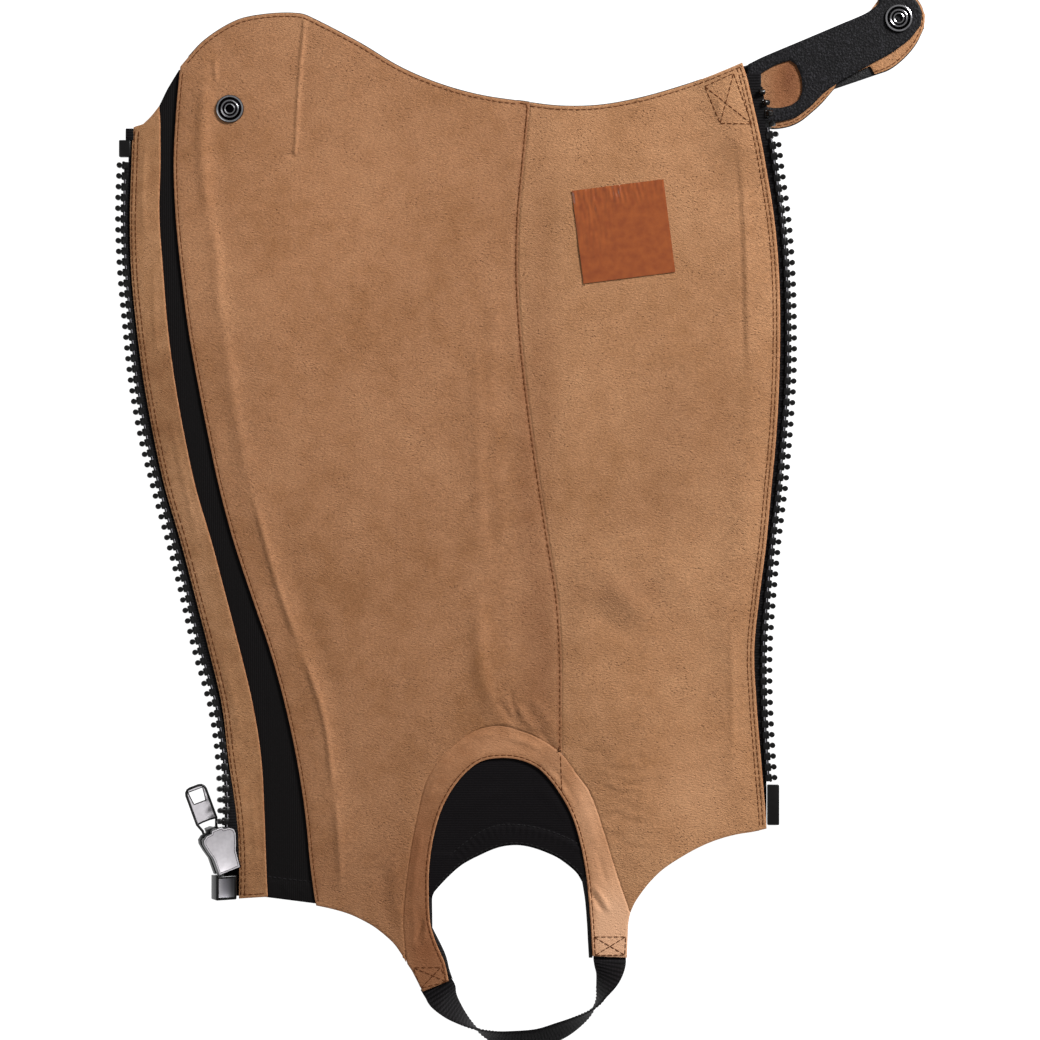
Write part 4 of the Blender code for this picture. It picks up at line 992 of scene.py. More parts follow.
    def build(self) -> "ClothPanel":
        """Make the sheet, lay it on its solid and dress it.

        Returns:
            The panel itself, with its finished piece.
        """
        outline = outline_of(self.node)
        loops = self.ring(outline)
        obj = self.flat_face(loops)
        self.rim_cuts(obj)
        self.divide(obj)
        self.refine(obj)
        mesh = obj.data
        co = np.array([v.co[:] for v in mesh.vertices]) / MM
        xy = co[:, :2]
        gap = np.min([distance_to(loop, xy, closed=True)[0] for loop in loops], axis=0)
        co[:, 2], tone = self.form(xy, gap, outline)
        mesh.vertices.foreach_set("co", (co * MM).ravel())
        mesh.attributes.new("shade", "FLOAT", "POINT").data.foreach_set("value", tone)
        self.paint_rim(mesh, outline)
        mesh.update()
        if sum(p.normal.z * p.area for p in mesh.polygons) < 0:
            mesh.flip_normals()
        wall = obj.modifiers.new("wall", "SOLIDIFY")
        wall.thickness = self.thick * MM
        wall.offset = -1.0
        wall.use_even_offset = False
        wall.material_offset_rim = 1
        apply_modifiers(obj)
        self.tuck_tips(obj, loops[0])
        settle(obj, self.node + "_cloth", 50.0)
        dress(obj, self.slot, self.finish, self.edge_finish)
        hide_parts(self.node)
        width, length = (float(v) for v in (outline.high - outline.low)[:2])
        LOG.info("%s: %d faces, %.0f x %.0f mm", obj.name, len(obj.data.polygons), width, length)
        area = sum(abs(loop_area(loop)) * (1 if i == 0 else -1) for i, loop in enumerate(loops))
        if area < BAND_SHARE * width * length:   # a narrow band: its size as if it were straightened
            length = loop_length(loops[0]) / 2
            width = max(area / length * BAND_SPREAD, BAND_LEAST)
        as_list(self.lies_on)
        self.obj = obj
        return self

    def tuck_tips(self, obj: Piece, loop: Line) -> None:
        """Draw back what the wall's thickness pushed past the outline at a sharp corner.

        Args:
            obj: the sheet with its wall.
            loop: its outer edge, in mm.
        """
        co = np.array([v.co[:] for v in obj.data.vertices])
        xy = co[:, :2] / MM
        far = np.flatnonzero(distance_to(loop, xy, closed=True)[0] > TIP_REACH)
        ahead = np.roll(loop, -1, axis=0)
        for i in far:
            x, y = xy[i]
            over = (loop[:, 1] > y) != (ahead[:, 1] > y)
            a, b = loop[over], ahead[over]
            crossed = a[:, 0] + (y - a[:, 1]) / (b[:, 1] - a[:, 1]) * (b[:, 0] - a[:, 0])
            if np.sum(crossed > x) % 2 == 0:   # an even count to its right, so it lies outside
                nearest = loop[int(np.argmin(np.linalg.norm(loop - xy[i], axis=1)))]
                obj.data.vertices[i].co.xy = nearest * MM

    def rim_cuts(self, obj: Piece) -> None:
        """Inset the flat face by each of its cuts, so that its edge can roll over.

        Args:
            obj: the face.
        """
        only(obj)
        bpy.ops.object.mode_set(mode="EDIT")
        bpy.ops.mesh.select_all(action="SELECT")
        for cut in self.edge_cuts:
            bpy.ops.mesh.inset(thickness=cut * MM, depth=0, use_boundary=True, use_even_offset=False)
        bpy.ops.object.mode_set(mode="OBJECT")

    def refine(self, obj: Piece) -> None:
        """Divide the sheet again along its narrow creases.

        Args:
            obj: the sheet.
        """
        narrow = [c for c in self.creases if c.width < NARROW_CREASE]
        if not narrow:
            return
        only(obj)
        bpy.ops.object.mode_set(mode="EDIT")
        centres = np.array([f.calc_center_median()[:2] for f in bmesh.from_edit_mesh(obj.data).faces]) / MM
        close = np.zeros(len(centres), bool)
        for crease in narrow:
            reach = 1.6 * crease.width + 1.2
            close |= distance_to(rounded(crease.points, CREASE_STEP), centres)[0] < reach
        marks = iter(close)
        pick_faces(obj, lambda f: next(marks))
        bpy.ops.mesh.subdivide(number_cuts=2)
        bpy.ops.object.mode_set(mode="OBJECT")

    def paint_rim(self, mesh: bpy.types.Mesh, outline: Outline) -> None:
        """Give the narrow faces at the cut edge their own material number, where the edge shows bright.

        Args:
            mesh: the sheet's mesh.
            outline: the outline of its solid.
        """
        if not self.bright_rim:
            return
        runs = [outline.portion(*run) for run in self.bright_rim]
        centres = np.array([[*p.center[:2]] for p in mesh.polygons]) / MM
        near = np.min([distance_to(run, centres)[0] for run in runs], axis=0)
        for polygon, distance in zip(mesh.polygons, near):
            if distance < 0.75 * self.rim:   # by its middle, so that only the outermost faces count
                polygon.material_index = 1

    def surface(self) -> BVHTree:
        """The finished sheet, for laying sewing on it.

        Returns:
            Its faces as a search tree, in mm.
        """
        bpy.context.view_layer.update()
        mesh = self.obj.data
        return BVHTree.FromPolygons([v.co / MM for v in mesh.vertices], [p.vertices for p in mesh.polygons])


# ------------ sewing
@dataclass
class Sewing:
    """Rows of stitches joined in one mesh, lying in the surfaces that they sew."""

    name: str
    finish: Any
    slot: str
    pitch: float = STITCH_PITCH
    length: float = 2.55
    thick: float = 0.55
    dive: float = 0.18          # how far a stitch's ends go down, mm
    above: float = 40.0         # height from which the surfaces are looked for, mm
    spots: list[Matrix] = field(default_factory=list)

    def row(self, line: Line, surfaces: Sequence[BVHTree], sink: float = 0.05) -> None:
        """Lay one row of stitches along a line.

        Args:
            line: the row's points, in mm.
            surfaces: the sheets below it; the highest hit counts.
            sink: how deep the thread's middle lies below the surface, in mm.
        """
        spots = along(np.asarray(line)[:, :2], self.pitch)
        for a, b in zip(spots, spots[1:]):
            middle = (a + b) / 2
            hits = [s.ray_cast(Vector((*middle, self.above)), Vector((0, 0, -1))) for s in surfaces]
            tops = [(hit[0].z, hit[1]) for hit in hits if hit[0] is not None]
            if not tops:
                continue
            height, normal = max(tops, key=lambda t: t[0])
            way = Vector((*(b - a), 0.0)).normalized()
            up = normal if normal.z > 0.5 else Vector((0, 0, 1))
            side = up.cross(way).normalized()
            turn = Matrix((way, side, way.cross(side))).transposed().to_4x4()
            self.spots.append(Matrix.Translation(Vector((*middle, height - sink))) @ turn)

    def stitch(self) -> Piece:
        """Model one stitch: a short thread that dives at both ends.

        Returns:
            The stitch, in mm.
        """
        bpy.ops.object.select_all(action="DESELECT")
        bpy.ops.mesh.primitive_cylinder_add(vertices=6, radius=self.thick / 2, depth=self.length,
                                            rotation=(0, math.pi / 2, 0))
        obj = bpy.context.object
        bpy.ops.object.transform_apply(location=False, rotation=True, scale=True)
        bpy.ops.object.mode_set(mode="EDIT")
        bpy.ops.mesh.select_all(action="SELECT")
        for place in (-0.22, 0.22):
            bpy.ops.mesh.bisect(plane_co=(place * self.length, 0, 0), plane_no=(1, 0, 0))
            bpy.ops.mesh.select_all(action="SELECT")
        bm = bmesh.from_edit_mesh(obj.data)
        for vert in bm.verts:
            if abs(vert.co.x) > 0.4 * self.length:
                vert.co.z -= self.dive
                vert.co.y *= 0.6
        bmesh.update_edit_mesh(obj.data)
        bpy.ops.object.mode_set(mode="OBJECT")
        return obj

    def build(self) -> Piece:
        """Join all the stitches in one piece."""
        return repeated(self.name, self.stitch(), self.spots, self.slot, self.finish)


def repeated(name: str, model: Piece, spots: Iterable[Matrix], slot: str, *finishes: Any) -> Piece:
    """Join copies of a small model, in mm, at many places in one mesh.

    Args:
        name: the new piece's name.
        model: the small model, which is removed.
        spots: where each copy stands, in mm.
        slot: the material slot's name, passed on to dress.
        finishes: the finishes, by the model's material numbers.

    Returns:
        The new piece.
    """
    base = np.array([v.co[:] for v in model.data.vertices])
    faces = [tuple(p.vertices) for p in model.data.polygons]
    numbers = [p.material_index for p in model.data.polygons]
    verts, all_faces, all_numbers = [], [], []
    for i, spot in enumerate(spots):
        m = np.array(spot)
        verts.append((base @ m[:3, :3].T + m[:3, 3]) * MM)
        all_faces += [tuple(v + i * len(base) for v in f) for f in faces]
        all_numbers += numbers
    old = model.data
    bpy.data.objects.remove(model)
    bpy.data.meshes.remove(old)
    obj = mesh_piece(name, np.vstack(verts), all_faces)
    obj.data.polygons.foreach_set("material_index", all_numbers)
    settle(obj, name, 40.0)
    dress(obj, slot, *finishes)
    LOG.info("%s: %d copies", name, len(verts))
    return obj


def copied_solid(node_name: str, name: str) -> Piece:
    """Copy a solid, weld it and merge its flat faces.

    Args:
        node_name: the solid's node.
        name: the copy's name.

    Returns:
        The copy.
    """
    obj = bpy.data.objects.new(name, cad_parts[node_name].data.copy())
    bpy.context.scene.collection.objects.link(obj)
    only(obj)
    bpy.ops.object.mode_set(mode="EDIT")
    bpy.ops.mesh.select_all(action="SELECT")
    bpy.ops.mesh.remove_doubles(threshold=1e-6)
    bpy.ops.mesh.dissolve_limited(angle_limit=math.radians(1.0))
    bpy.ops.mesh.normals_make_consistent(inside=False)
    bpy.ops.object.mode_set(mode="OBJECT")
    return obj


def bevelled(obj: Piece, width: float, segments: int = 3, angle: float = 28.0) -> Piece:
    """Round a piece's sharp edges.

    Args:
        obj: the piece.
        width: how much of each face is taken, in the mesh's own unit.
        segments: faces across each rounded edge.
        angle: edges that turn by more than this many degrees are rounded.

    Returns:
        The same piece.
    """
    bevel = obj.modifiers.new("rounded", "BEVEL")
    bevel.width = width
    bevel.segments = segments
    bevel.limit_method = "ANGLE"
    bevel.angle_limit = math.radians(angle)
    apply_modifiers(obj)
    return obj


def turned(name: str, spot: Sequence[float], profile: Sequence[tuple[float, float]],
           segments: int = 48) -> Piece:
    """Turn a round piece from the outside in: a ring that is extruded and drawn in again and again.

    Args:
        name: the piece's name.
        spot: x and y of its axis, in mm.
        profile: radius and height of each ring, in mm.
        segments: sides of the rings.

    Returns:
        The piece, closed at both ends.
    """
    bpy.ops.object.select_all(action="DESELECT")
    centre = Vector((spot[0], spot[1], 0)) * MM
    (radius, height), *rest = profile
    bpy.ops.mesh.primitive_circle_add(vertices=segments, radius=radius * MM, fill_type="NGON",
                                      location=(centre.x, centre.y, height * MM))
    obj = bpy.context.object
    bpy.ops.object.transform_apply(location=True, rotation=False, scale=False)
    bpy.ops.object.mode_set(mode="EDIT")
    bpy.ops.mesh.select_all(action="SELECT")
    for new_radius, new_height in rest:
        bpy.ops.mesh.extrude_region_move(TRANSFORM_OT_translate={"value": (0, 0, (new_height - height) * MM)})
        factor = new_radius / radius
        bpy.ops.transform.resize(value=(factor, factor, 1),
                                 center_override=(centre.x, centre.y, new_height * MM))
        radius, height = new_radius, new_height
    bpy.ops.mesh.select_all(action="SELECT")
    bpy.ops.mesh.normals_make_consistent(inside=False)
    bpy.ops.object.mode_set(mode="OBJECT")
    return settle(obj, name, 25.0)


def swept(name: str, line: Sequence[Sequence[float]], radius: float, closed: bool = False,
          resolution: int = 4) -> Piece:
    """Sweep a round bead along a line.

    Args:
        name: the piece's name.
        line: the points of its middle.
        radius: its radius, in the same unit.
        closed: True if it returns to its start; otherwise its ends are capped.
        resolution: how finely its section is divided.

    Returns:
        The piece.
    """
    curve = bpy.data.curves.new(name, "CURVE")
    curve.dimensions = "3D"
    curve.bevel_depth = radius
    curve.bevel_resolution = resolution
    curve.use_fill_caps = not closed
    spline = curve.splines.new("POLY")
    spline.points.add(len(line) - 1)
    for point, spot in zip(spline.points, line):
        point.co = (*spot, 1.0)
    spline.use_cyclic_u = closed
    obj = bpy.data.objects.new(name, curve)
    bpy.context.scene.collection.objects.link(obj)
    only(obj)
    bpy.ops.object.convert(target="MESH")
    return bpy.context.object


def joined(parts: Sequence[Piece]) -> Piece:
    """Join parts in one piece, with their places put into the mesh.

    Args:
        parts: the parts.

    Returns:
        The piece.
    """
    bpy.ops.object.select_all(action="DESELECT")
    for part in parts:
        part.select_set(True)
    bpy.context.view_layer.objects.active = parts[0]
    bpy.ops.object.transform_apply(location=True, rotation=True, scale=True)
    bpy.ops.object.join()
    return bpy.context.object


OUTLINES: dict[str, Outline] = {}


def outline_of(name: str) -> Outline:
    """A solid's outline, read once.

    Args:
        name: the solid's node.

    Returns:
        Its outline.
    """
    if name not in OUTLINES:
        OUTLINES[name] = Outline(name)
    return OUTLINES[name]


# ------------ the tan lining
SEAM_MEETS = 0.18   # how far each of two edges is let out where they are sewn together, mm
LINING_CUTS = (0.4, 0.45, 0.5)   # a lining's edge rolls over three rows of faces, mm
# seams that two sheets share: where each starts, a place on its way, and where it ends
CENTRE_SEAM = ((-0.6, 191.5), (2.6, 65.0), (19.2, -106.5))
ARCH_LEFT = ((19.0, -107.5), (-20.0, -97.0), (-52.9, -197.0))
ARCH_TOP = ((10.0, -101.5), (19.3, -108.0), (28.0, -120.0))
ARCH_RIGHT = ((19.5, -108.5), (38.0, -142.0), (50.6, -180.5))


@dataclass
class Lining:
    """The four pigskin pieces that face up: front, inner leg, zip facing and the band round the arch."""

    front_creases: tuple[Crease, ...] = (
        Crease(((-98.9, 231.8), (-101.7, 201), (-103.2, 173.4), (-104, 166.5)), 0.62, 0.85, 0.05),
        Crease(((-96.4, 228), (-99.2, 200), (-100.6, 174)), -0.22, 2.2, 0.2),
        Crease(((-104.2, 170), (-105, 164), (-106, 159)), -0.60, 1.8),
        Crease(((-104.4, 168), (-105.6, 161)), 0.55, 2.2, 0.4),
        Crease(((-140.4, 214), (-140.2, 208), (-139.6, 200)), 0.60, 1, 0.35),
        Crease(((-145, 206), (-146.3, 182), (-146.2, 164.7), (-142.7, 136.3)), 0.85, 1.7, 0.18),
        Crease(((-143.8, 146), (-139.4, 122.4), (-139, 105.8), (-135.7, 82.3)), 0.80, 1.8, 0.30),
        Crease(((-136.5, 96), (-131, 50), (-124, 14)), 0.65, 2, 0.25),
        Crease(((-124, 16), (-112, -28), (-99.5, -64)), 0.80, 1.6, 0.25),
        Crease(((-101, -58), (-90, -92), (-85.5, -128)), 0.95, 1.5, 0.25),
        Crease(((-86, -120), (-83.5, -146), (-82, -174)), 0.70, 1.6, 0.35),
        Crease(((-138, 196), (-139, 150), (-133, 90), (-125, 30)), -0.35, 5, 0.25),
        Crease(((-116, 10), (-100, -40), (-84, -90), (-78, -150)), -0.50, 4.5, 0.25),
        Crease(((-18.6, -30), (-18.4, -64.4), (-13.8, -82.8), (-9.8, -94.5)), 0.85, 3.2),
        Crease(((-25, -44), (-24, -70), (-18, -90)), -0.22, 4.5, 0.35),
        Crease(((-12.4, -80.8), (-3.7, -91.9), (0.4, -96.1)), -0.50, 1.5),
        Crease(((-5.6, -76), (-2.5, -88), (0.4, -96.5)), -0.40, 1.3),
        Crease(((-2, -84), (3, -92), (8, -98)), 0.55, 1.6),
        Crease(((8, -96), (14, -103), (18.8, -106.4)), -0.50, 1.3, 0.2),
        Crease(((4, -80), (12, -91), (18.5, -98)), 0.60, 2.2),
        Crease(((-11, 130), (-12.5, 60), (-9, 5), (-5, -50)), 0.35, 3),
        Crease(((-20, 96), (-19, 20), (-17, -30)), 0.45, 2.6),
        Crease(((-36, -96), (-41, -118), (-48, -136)), -0.35, 2.4, 0.35),
        Crease(((-30, -92), (-38, -104), (-44, -118)), 0.40, 2.4, 0.35),
        Crease(((-58, -150), (-57, -170), (-54.5, -192)), 0.45, 2, 0.35),
        Crease(((-64, -152), (-63.5, -172), (-60, -190)), -0.40, 2.6, 0.35),
    )
    inside_creases: tuple[Crease, ...] = (
        Crease(((96.9, 178), (100.6, 150), (102.2, 110), (103.4, 56)), -0.28, 1.5),
        Crease(((98.9, 180), (102.6, 150), (104.2, 110), (105.4, 56)), 0.38, 1.7),
        Crease(((38, -28), (48, -35), (58, -46)), 0.90, 5),
        Crease(((28, -36), (42, -48), (60, -56)), -0.70, 5.5),
        Crease(((60, -20), (72, -28), (80, -42)), 0.40, 6, 0.35),
        Crease(((74, 84), (80, 60), (76, 30)), 0.45, 9, 0.4),
        Crease(((52, 20), (62, 4), (66, -14)), -0.35, 7, 0.4),
        Crease(((36, -122), (46, -126), (54, -124)), -0.22, 1.3, 0.35),
        Crease(((40, -133), (50, -138), (58, -137)), -0.20, 1.2, 0.35),
        Crease(((37, -113), (45, -115.5), (52, -113)), -0.20, 1.2, 0.35),
        Crease(((43, -146), (51, -150), (60, -150)), -0.18, 1.2, 0.35),
        Crease(((26, -104), (34, -107.5), (42, -106)), -0.18, 1.3, 0.35),
        Crease(((96, 178), (101, 173), (108, 170)), 0.18, 2),
        Crease(((86, 197), (92, 190), (90, 183)), 0.25, 1.6),
        Crease(((97, -120), (98, -90), (97, -40)), 0.35, 1.6),
    )
    arch_creases: tuple[Crease, ...] = (
        Crease(((30.8, -168.2), (34.5, -174.5), (39.1, -181.7)), -0.50, 1.1),
        Crease(((33.6, -167.5), (38.5, -175), (42, -182)), 0.55, 1.3),
        Crease(((-48.6, -195.3), (-46.6, -189.5), (-44, -183)), -0.70, 1),
        Crease(((-44.8, -196), (-43.6, -190), (-43, -184)), 0.40, 1),
        Crease(((-50, -176), (-48, -160), (-44.5, -140)), 0.45, 1.6),
        Crease(((-48, -202), (-48.5, -188), (-50, -172)), 0.40, 1.5, 0.4),
        Crease(((-44, -132), (-38, -118), (-30, -108.5)), 0.45, 1.6),
        Crease(((-30, -106), (-20, -99.8), (-9, -98)), 0.35, 1.6),
        Crease(((-8, -99.5), (2, -102), (12, -107)), 0.40, 1.6),
        Crease(((24, -121), (31, -136), (36, -152)), 0.45, 1.8),
        Crease(((12, -112), (20, -120), (25, -130)), -0.30, 1.3),
        Crease(((35, -150), (38.5, -163), (41, -170)), -0.30, 1.4),
    )
    strip_creases: tuple[Crease, ...] = (
        Crease(((-172, 178), (-173.5, 150), (-172.5, 128)), 0.35, 1.3),
        Crease(((-168, 120), (-168, 90), (-166, 70)), 0.25, 1.4),
        Crease(((-161, 50), (-155, 20), (-147.5, -12)), 0.30, 1.5),
        Crease(((-137, -60), (-131, -86), (-128, -104)), 0.30, 1.5),
        Crease(((-124, -120), (-122, -145), (-121, -168)), 0.35, 1.6),
    )
    # painted light and shade, here and in the tables below: lighter on ridges and where the light falls, darker
    # along the seams and in folds
    front_patches: tuple[Patch, ...] = (
        Patch(3, 60, 6, 150, -0.13), Patch(11, -60, 7, 55, -0.16),
        Patch(-90, -165, 50, 22, -0.10), Patch(-56, -180, 9, 40, -0.12),
        Patch(-100, 130, 60, 60, 0.10), Patch(-100, 40, 40, 60, 0.02),
        Patch(-125, 60, 7, 60, -0.05), Patch(-60, -110, 40, 40, -0.03),
        Patch(-16, -62, 5, 26, 0.07), Patch(-142, 175, 3, 40, 0.06),
        Patch(-8, -86, 10, 9, -0.08))
    inside_patches: tuple[Patch, ...] = (
        Patch(46, -33, 20, 9, -0.14), Patch(72, 44, 20, 26, -0.10),
        Patch(58, 4, 24, 14, -0.07), Patch(40, 170, 26, 12, 0.03),
        Patch(9, 60, 9, 130, -0.14), Patch(24, -50, 5, 50, -0.05),
        Patch(84, -124, 30, 34, 0.20), Patch(100, 192, 16, 18, 0.05),
        Patch(34, -118, 8, 26, -0.06), Patch(52, -70, 24, 22, 0.08),
        Patch(94, 60, 8, 80, -0.05))
    arch_patches: tuple[Patch, ...] = (
        Patch(-42, -202, 14, 20, -0.34), Patch(-47, -155, 9, 34, -0.32),
        Patch(-10, -104, 24, 8, 0.18), Patch(43, -190, 14, 26, 1.00),
        Patch(31, -134, 9, 24, 0.36), Patch(14, -110, 5, 6, -0.10))
    strip_patches: tuple[Patch, ...] = (Patch(-125, -120, 12, 70, 0.10),
                                        Patch(-170, 140, 12, 60, 0.12))
    arch_raw_edge: Spots = ((-32.9, -211.5), (-9.0, -109.5), (33.3, -200.0))
    strip_edge: Spots = ((-178.5, 179.5), (-153.0, -17.0), (-129.5, -173.0))
    zip_edge: Spots = ((102.2, 208.0), (118.8, 70.0), (113.2, -140.0))
    sheets: list[ClothPanel] = field(default_factory=list)

    def pebbles(self, xy: np.ndarray) -> np.ndarray:
        """The inner leg's coarse grain, strongest beside the arch.

        Args:
            xy: the places, in mm.

        Returns:
            The heights that it adds, in mm.
        """
        near = np.exp(-((xy[:, 0] - 46) / 16) ** 2 - ((xy[:, 1] + 128) / 30) ** 2)
        low = np.exp(-((xy[:, 0] - 70) / 45) ** 2 - ((xy[:, 1] + 110) / 45) ** 2)
        ripple = np.array([noise.noise(Vector((x / 6.0, y / 3.0, 2.0))) for x, y in xy])
        return ripple * (0.40 * near + 0.14 * low)

    def build(self) -> list[ClothPanel]:
        """Make the four sheets.

        Returns:
            The sheets.
        """
        self.sheets = [
            ClothPanel("lining_front", "pigskin", LINING, CUT_EDGE, creases=self.front_creases, spacing=1.8,
                       patches=self.front_patches, waviness=0.22, holes=True, lies_on=("outer_front",),
                       edge_cuts=LINING_CUTS,
                       rows=(Row((-156.8, 206.0), (-147.0, 50.0), (-94.0, -176.0), 1.35, 0.30),
                             Row((-154.0, 211.0), (-80.0, 222.0), (-1.5, 192.6), 1.6, 0.20),
                             Row(*CENTRE_SEAM, 0.95, 0.50, 0.65)),
                       meets=((*CENTRE_SEAM, SEAM_MEETS), (*ARCH_LEFT, SEAM_MEETS)),
                       bright_rim=(((-157.0, 206.0), (-147.0, 50.0), (-94.2, -176.0)),)).build(),
            ClothPanel("lining_inside", "pigskin", LINING_RIGHT, CUT_EDGE, creases=self.inside_creases,
                       spacing=1.6, patches=self.inside_patches, waviness=0.24, extra=self.pebbles, seed=7.0,
                       lies_on=("outer_inside",), edge_cuts=LINING_CUTS,
                       rows=(Row((1.5, 192.4), (50.0, 193.0), (100.0, 209.0), 1.6, 0.20),
                             Row(*self.zip_edge, 1.6, 0.25), Row(*self.zip_edge, 3.2, 0.25)),
                       meets=((*CENTRE_SEAM, SEAM_MEETS), (*ARCH_RIGHT, SEAM_MEETS)),
                       bright_rim=(((102.0, 208.0), (119.0, 70.0), (113.0, -141.0)),)).build(),
            ClothPanel("zip_facing", "pigskin", BRUSHED, CUT_EDGE, creases=self.strip_creases, spacing=1.6,
                       patches=self.strip_patches, waviness=0.16, seed=3.0, lies_on=("outer_zip_strip",),
                       edge_cuts=LINING_CUTS,
                       rows=(Row(*self.strip_edge, 0.9, 0.25), Row(*self.strip_edge, 2.6, 0.32),
                             Row((-127.5, -174.0), (-123.0, -174.5), (-118.0, -174.0), 1.6, 0.2)),
                       bright_rim=(((-166.0, 190.0), (-150.0, 20.0), (-116.0, -174.0)),)).build(),
            ClothPanel("arch_facing", "pigskin", FACING, CUT_EDGE, creases=self.arch_creases, spacing=1.6,
                       patches=self.arch_patches, waviness=0.26, seed=5.0, rim=0.7, edge_cuts=LINING_CUTS,
                       rows=(Row(*self.arch_raw_edge, 1.3, 0.28),),
                       meets=((*ARCH_LEFT, SEAM_MEETS), (*ARCH_TOP, SEAM_MEETS), (*ARCH_RIGHT, SEAM_MEETS)),
                       lies_on=("outer_front", "outer_inside"), bright_rim=(self.arch_raw_edge,)).build(),
        ]
        return self.sheets

    def crossed_box(self, sewing: Sewing, corners: Sequence[tuple[float, float]],
                    surfaces: Sequence[BVHTree]) -> None:
        """Sew a four-sided box with both its diagonals.

        Args:
            sewing: the rows that it joins.
            corners: its four corners in turn.
            surfaces: the sheets below it.
        """
        a, b, c, d = (np.array(p) for p in corners)
        for start, end in ((a, b), (b, c), (c, d), (d, a), (a, c), (b, d)):
            sewing.row(np.array([start, end]), surfaces)

    def sew(self) -> Piece:
        """Sew the rows that hold the lining to what lies below it.

        Returns:
            The stitches.
        """
        surfaces = [sheet.surface() for sheet in self.sheets]
        sewing = Sewing("lining_stitching", THREAD, "pigskin")
        for sheet, surface in zip(self.sheets, surfaces):
            for row in sheet.rows:
                sewing.row(row.line(outline_of(sheet.node)), [surface])
        _, inside, _, arch = surfaces
        sewing.row(np.array([(18.6, -108.5), (18.9, -116.0), (19.2, -125.0)]), [arch])
        self.crossed_box(sewing, ((84.9, 199.2), (98.0, 205.0), (106.3, 181.7), (92.0, 182.2)), [inside])
        self.crossed_box(sewing, ((-49.0, -205.9), (-36.5, -205.9), (-33.8, -212.4), (-45.6, -215.4)), [arch])
        self.crossed_box(sewing, ((34.0, -191.8), (48.6, -191.8), (48.2, -200.1), (34.5, -200.3)),
                         [arch, inside])
        return sewing.build()


# ------------ the black shell below it
@dataclass
class Shell:
    """Black leather, the elastic panel between its pieces and the stretch gusset in the arch."""

    hem: Spots = (
        (-31.0, -153.5), (-27.1, -150.0), (-17.9, -143.5), (-9.7, -140.5), (-0.9, -140.3), (8.1, -141.7),
        (17.0, -144.4), (25.1, -148.1), (29.0, -151.0))
    elastic_hem: Spots = ((-116.5, -164.0), (-106.0, -165.5), (-95.5, -166.5))
    sheets: list[ClothPanel] = field(default_factory=list)

    def gusset_band(self, xy: np.ndarray) -> np.ndarray:
        """The gusset's turned hem: thicker below its stitch line, with small pleats across it.

        Args:
            xy: the places, in mm.

        Returns:
            The heights that it adds, in mm.
        """
        line = rounded(self.hem, 3.0)
        gap, share = distance_to(line, xy)
        below = xy[:, 1] < np.interp(xy[:, 0], line[:, 0], line[:, 1])
        pleats = 0.22 * np.sin(share * 130.0) * np.exp(-((gap - 2.6) / 2.2) ** 2)
        return np.where(below, 0.40 * ease(gap, 0.2, 1.2) + pleats, -0.25 * np.exp(-(gap / 1.0) ** 2))

    def elastic_band(self, xy: np.ndarray) -> np.ndarray:
        """The elastic's turned hem at its foot, with raised zigzag sewing.

        Args:
            xy: the places, in mm.

        Returns:
            The heights that it adds, in mm.
        """
        line = rounded(self.elastic_hem, 2.0)
        gap, share = distance_to(line, xy)
        below = xy[:, 1] < np.interp(xy[:, 0], line[:, 0], line[:, 1])
        wave = gap - 4.6 - 2.4 * np.sin(share * 42.0)
        zigzag = 0.45 * np.exp(-(wave / 0.7) ** 2) * ease(gap, 1.0, 2.0)
        return np.where(below, 0.20 * ease(gap, 0.2, 1.0) + zigzag, -0.15 * np.exp(-(gap / 0.8) ** 2))

    def build(self) -> list[ClothPanel]:
        """Make the five sheets.

        Returns:
            The sheets.
        """
        self.sheets = [
            ClothPanel("outer_front", "black_leather", COWHIDE, COWHIDE, spacing=5.0, holes=True, roll=0.25,
                       meets=((*CENTRE_SEAM, SEAM_MEETS),
                              ((-44.5, -172.9), (-42.0, -172.9), (-40.6, -173.2), 0.3)),
                       moved=((-32.3, -208.1, 1.3, -3.4),)).build(),
            ClothPanel("outer_inside", "black_leather", COWHIDE, COWHIDE, spacing=5.0, roll=0.25,
                       meets=((*CENTRE_SEAM, SEAM_MEETS),
                              ((28.4, -165.2), (30.5, -162.0), (33.0, -158.5), 0.4)),
                       moved=((31.3, -195.0, 0.4, -6.6), (32.9, -195.0, 0.4, -6.6))).build(),
            ClothPanel("outer_zip_strip", "black_leather", COWHIDE, COWHIDE, spacing=3.0).build(),
            ClothPanel("elastic_panel", "stretch_fabric", ELASTIC, ELASTIC, spacing=1.3, waviness=0.12,
                       extra=self.elastic_band, seed=11.0).build(),
            ClothPanel("arch_gusset", "stretch_fabric", STRETCH, STRETCH, spacing=0.9, waviness=0.20,
                       extra=self.gusset_band, seed=13.0,
                       meets=(((-45.3, -164.0), (-44.8, -168.0), (-40.4, -172.6), 0.5),
                              ((33.2, -157.0), (31.5, -161.5), (27.6, -165.0), 0.5)),
                       moved=((27.7, -164.6, 0.7, -1.2), (-40.5, -172.5, -0.3, -1.0)),
                       creases=(Crease(((-34, -140), (-18, -128), (0, -125)), 0.25, 3),
                                Crease(((5, -122), (16, -130), (24, -142)), 0.20, 2.5))).build(),
        ]
        return self.sheets

    def sew(self) -> Piece:
        """Sew the two hems.

        Returns:
            The stitches.
        """
        sewing = Sewing("shell_stitching", BLACK_THREAD, "stretch_fabric", pitch=2.4, length=1.7)
        gusset, elastic = self.sheets[4].surface(), self.sheets[3].surface()
        sewing.row(rounded(self.hem, 2.0), [gusset], sink=-0.05)
        sewing.row(outline_of("arch_gusset").portion((-39.0, -170.5), (0.0, -149.8), (27.5, -164.0), 1.2),
                   [gusset], sink=-0.05)
        sewing.row(rounded(self.elastic_hem, 2.0), [elastic], sink=-0.05)
        return sewing.build()


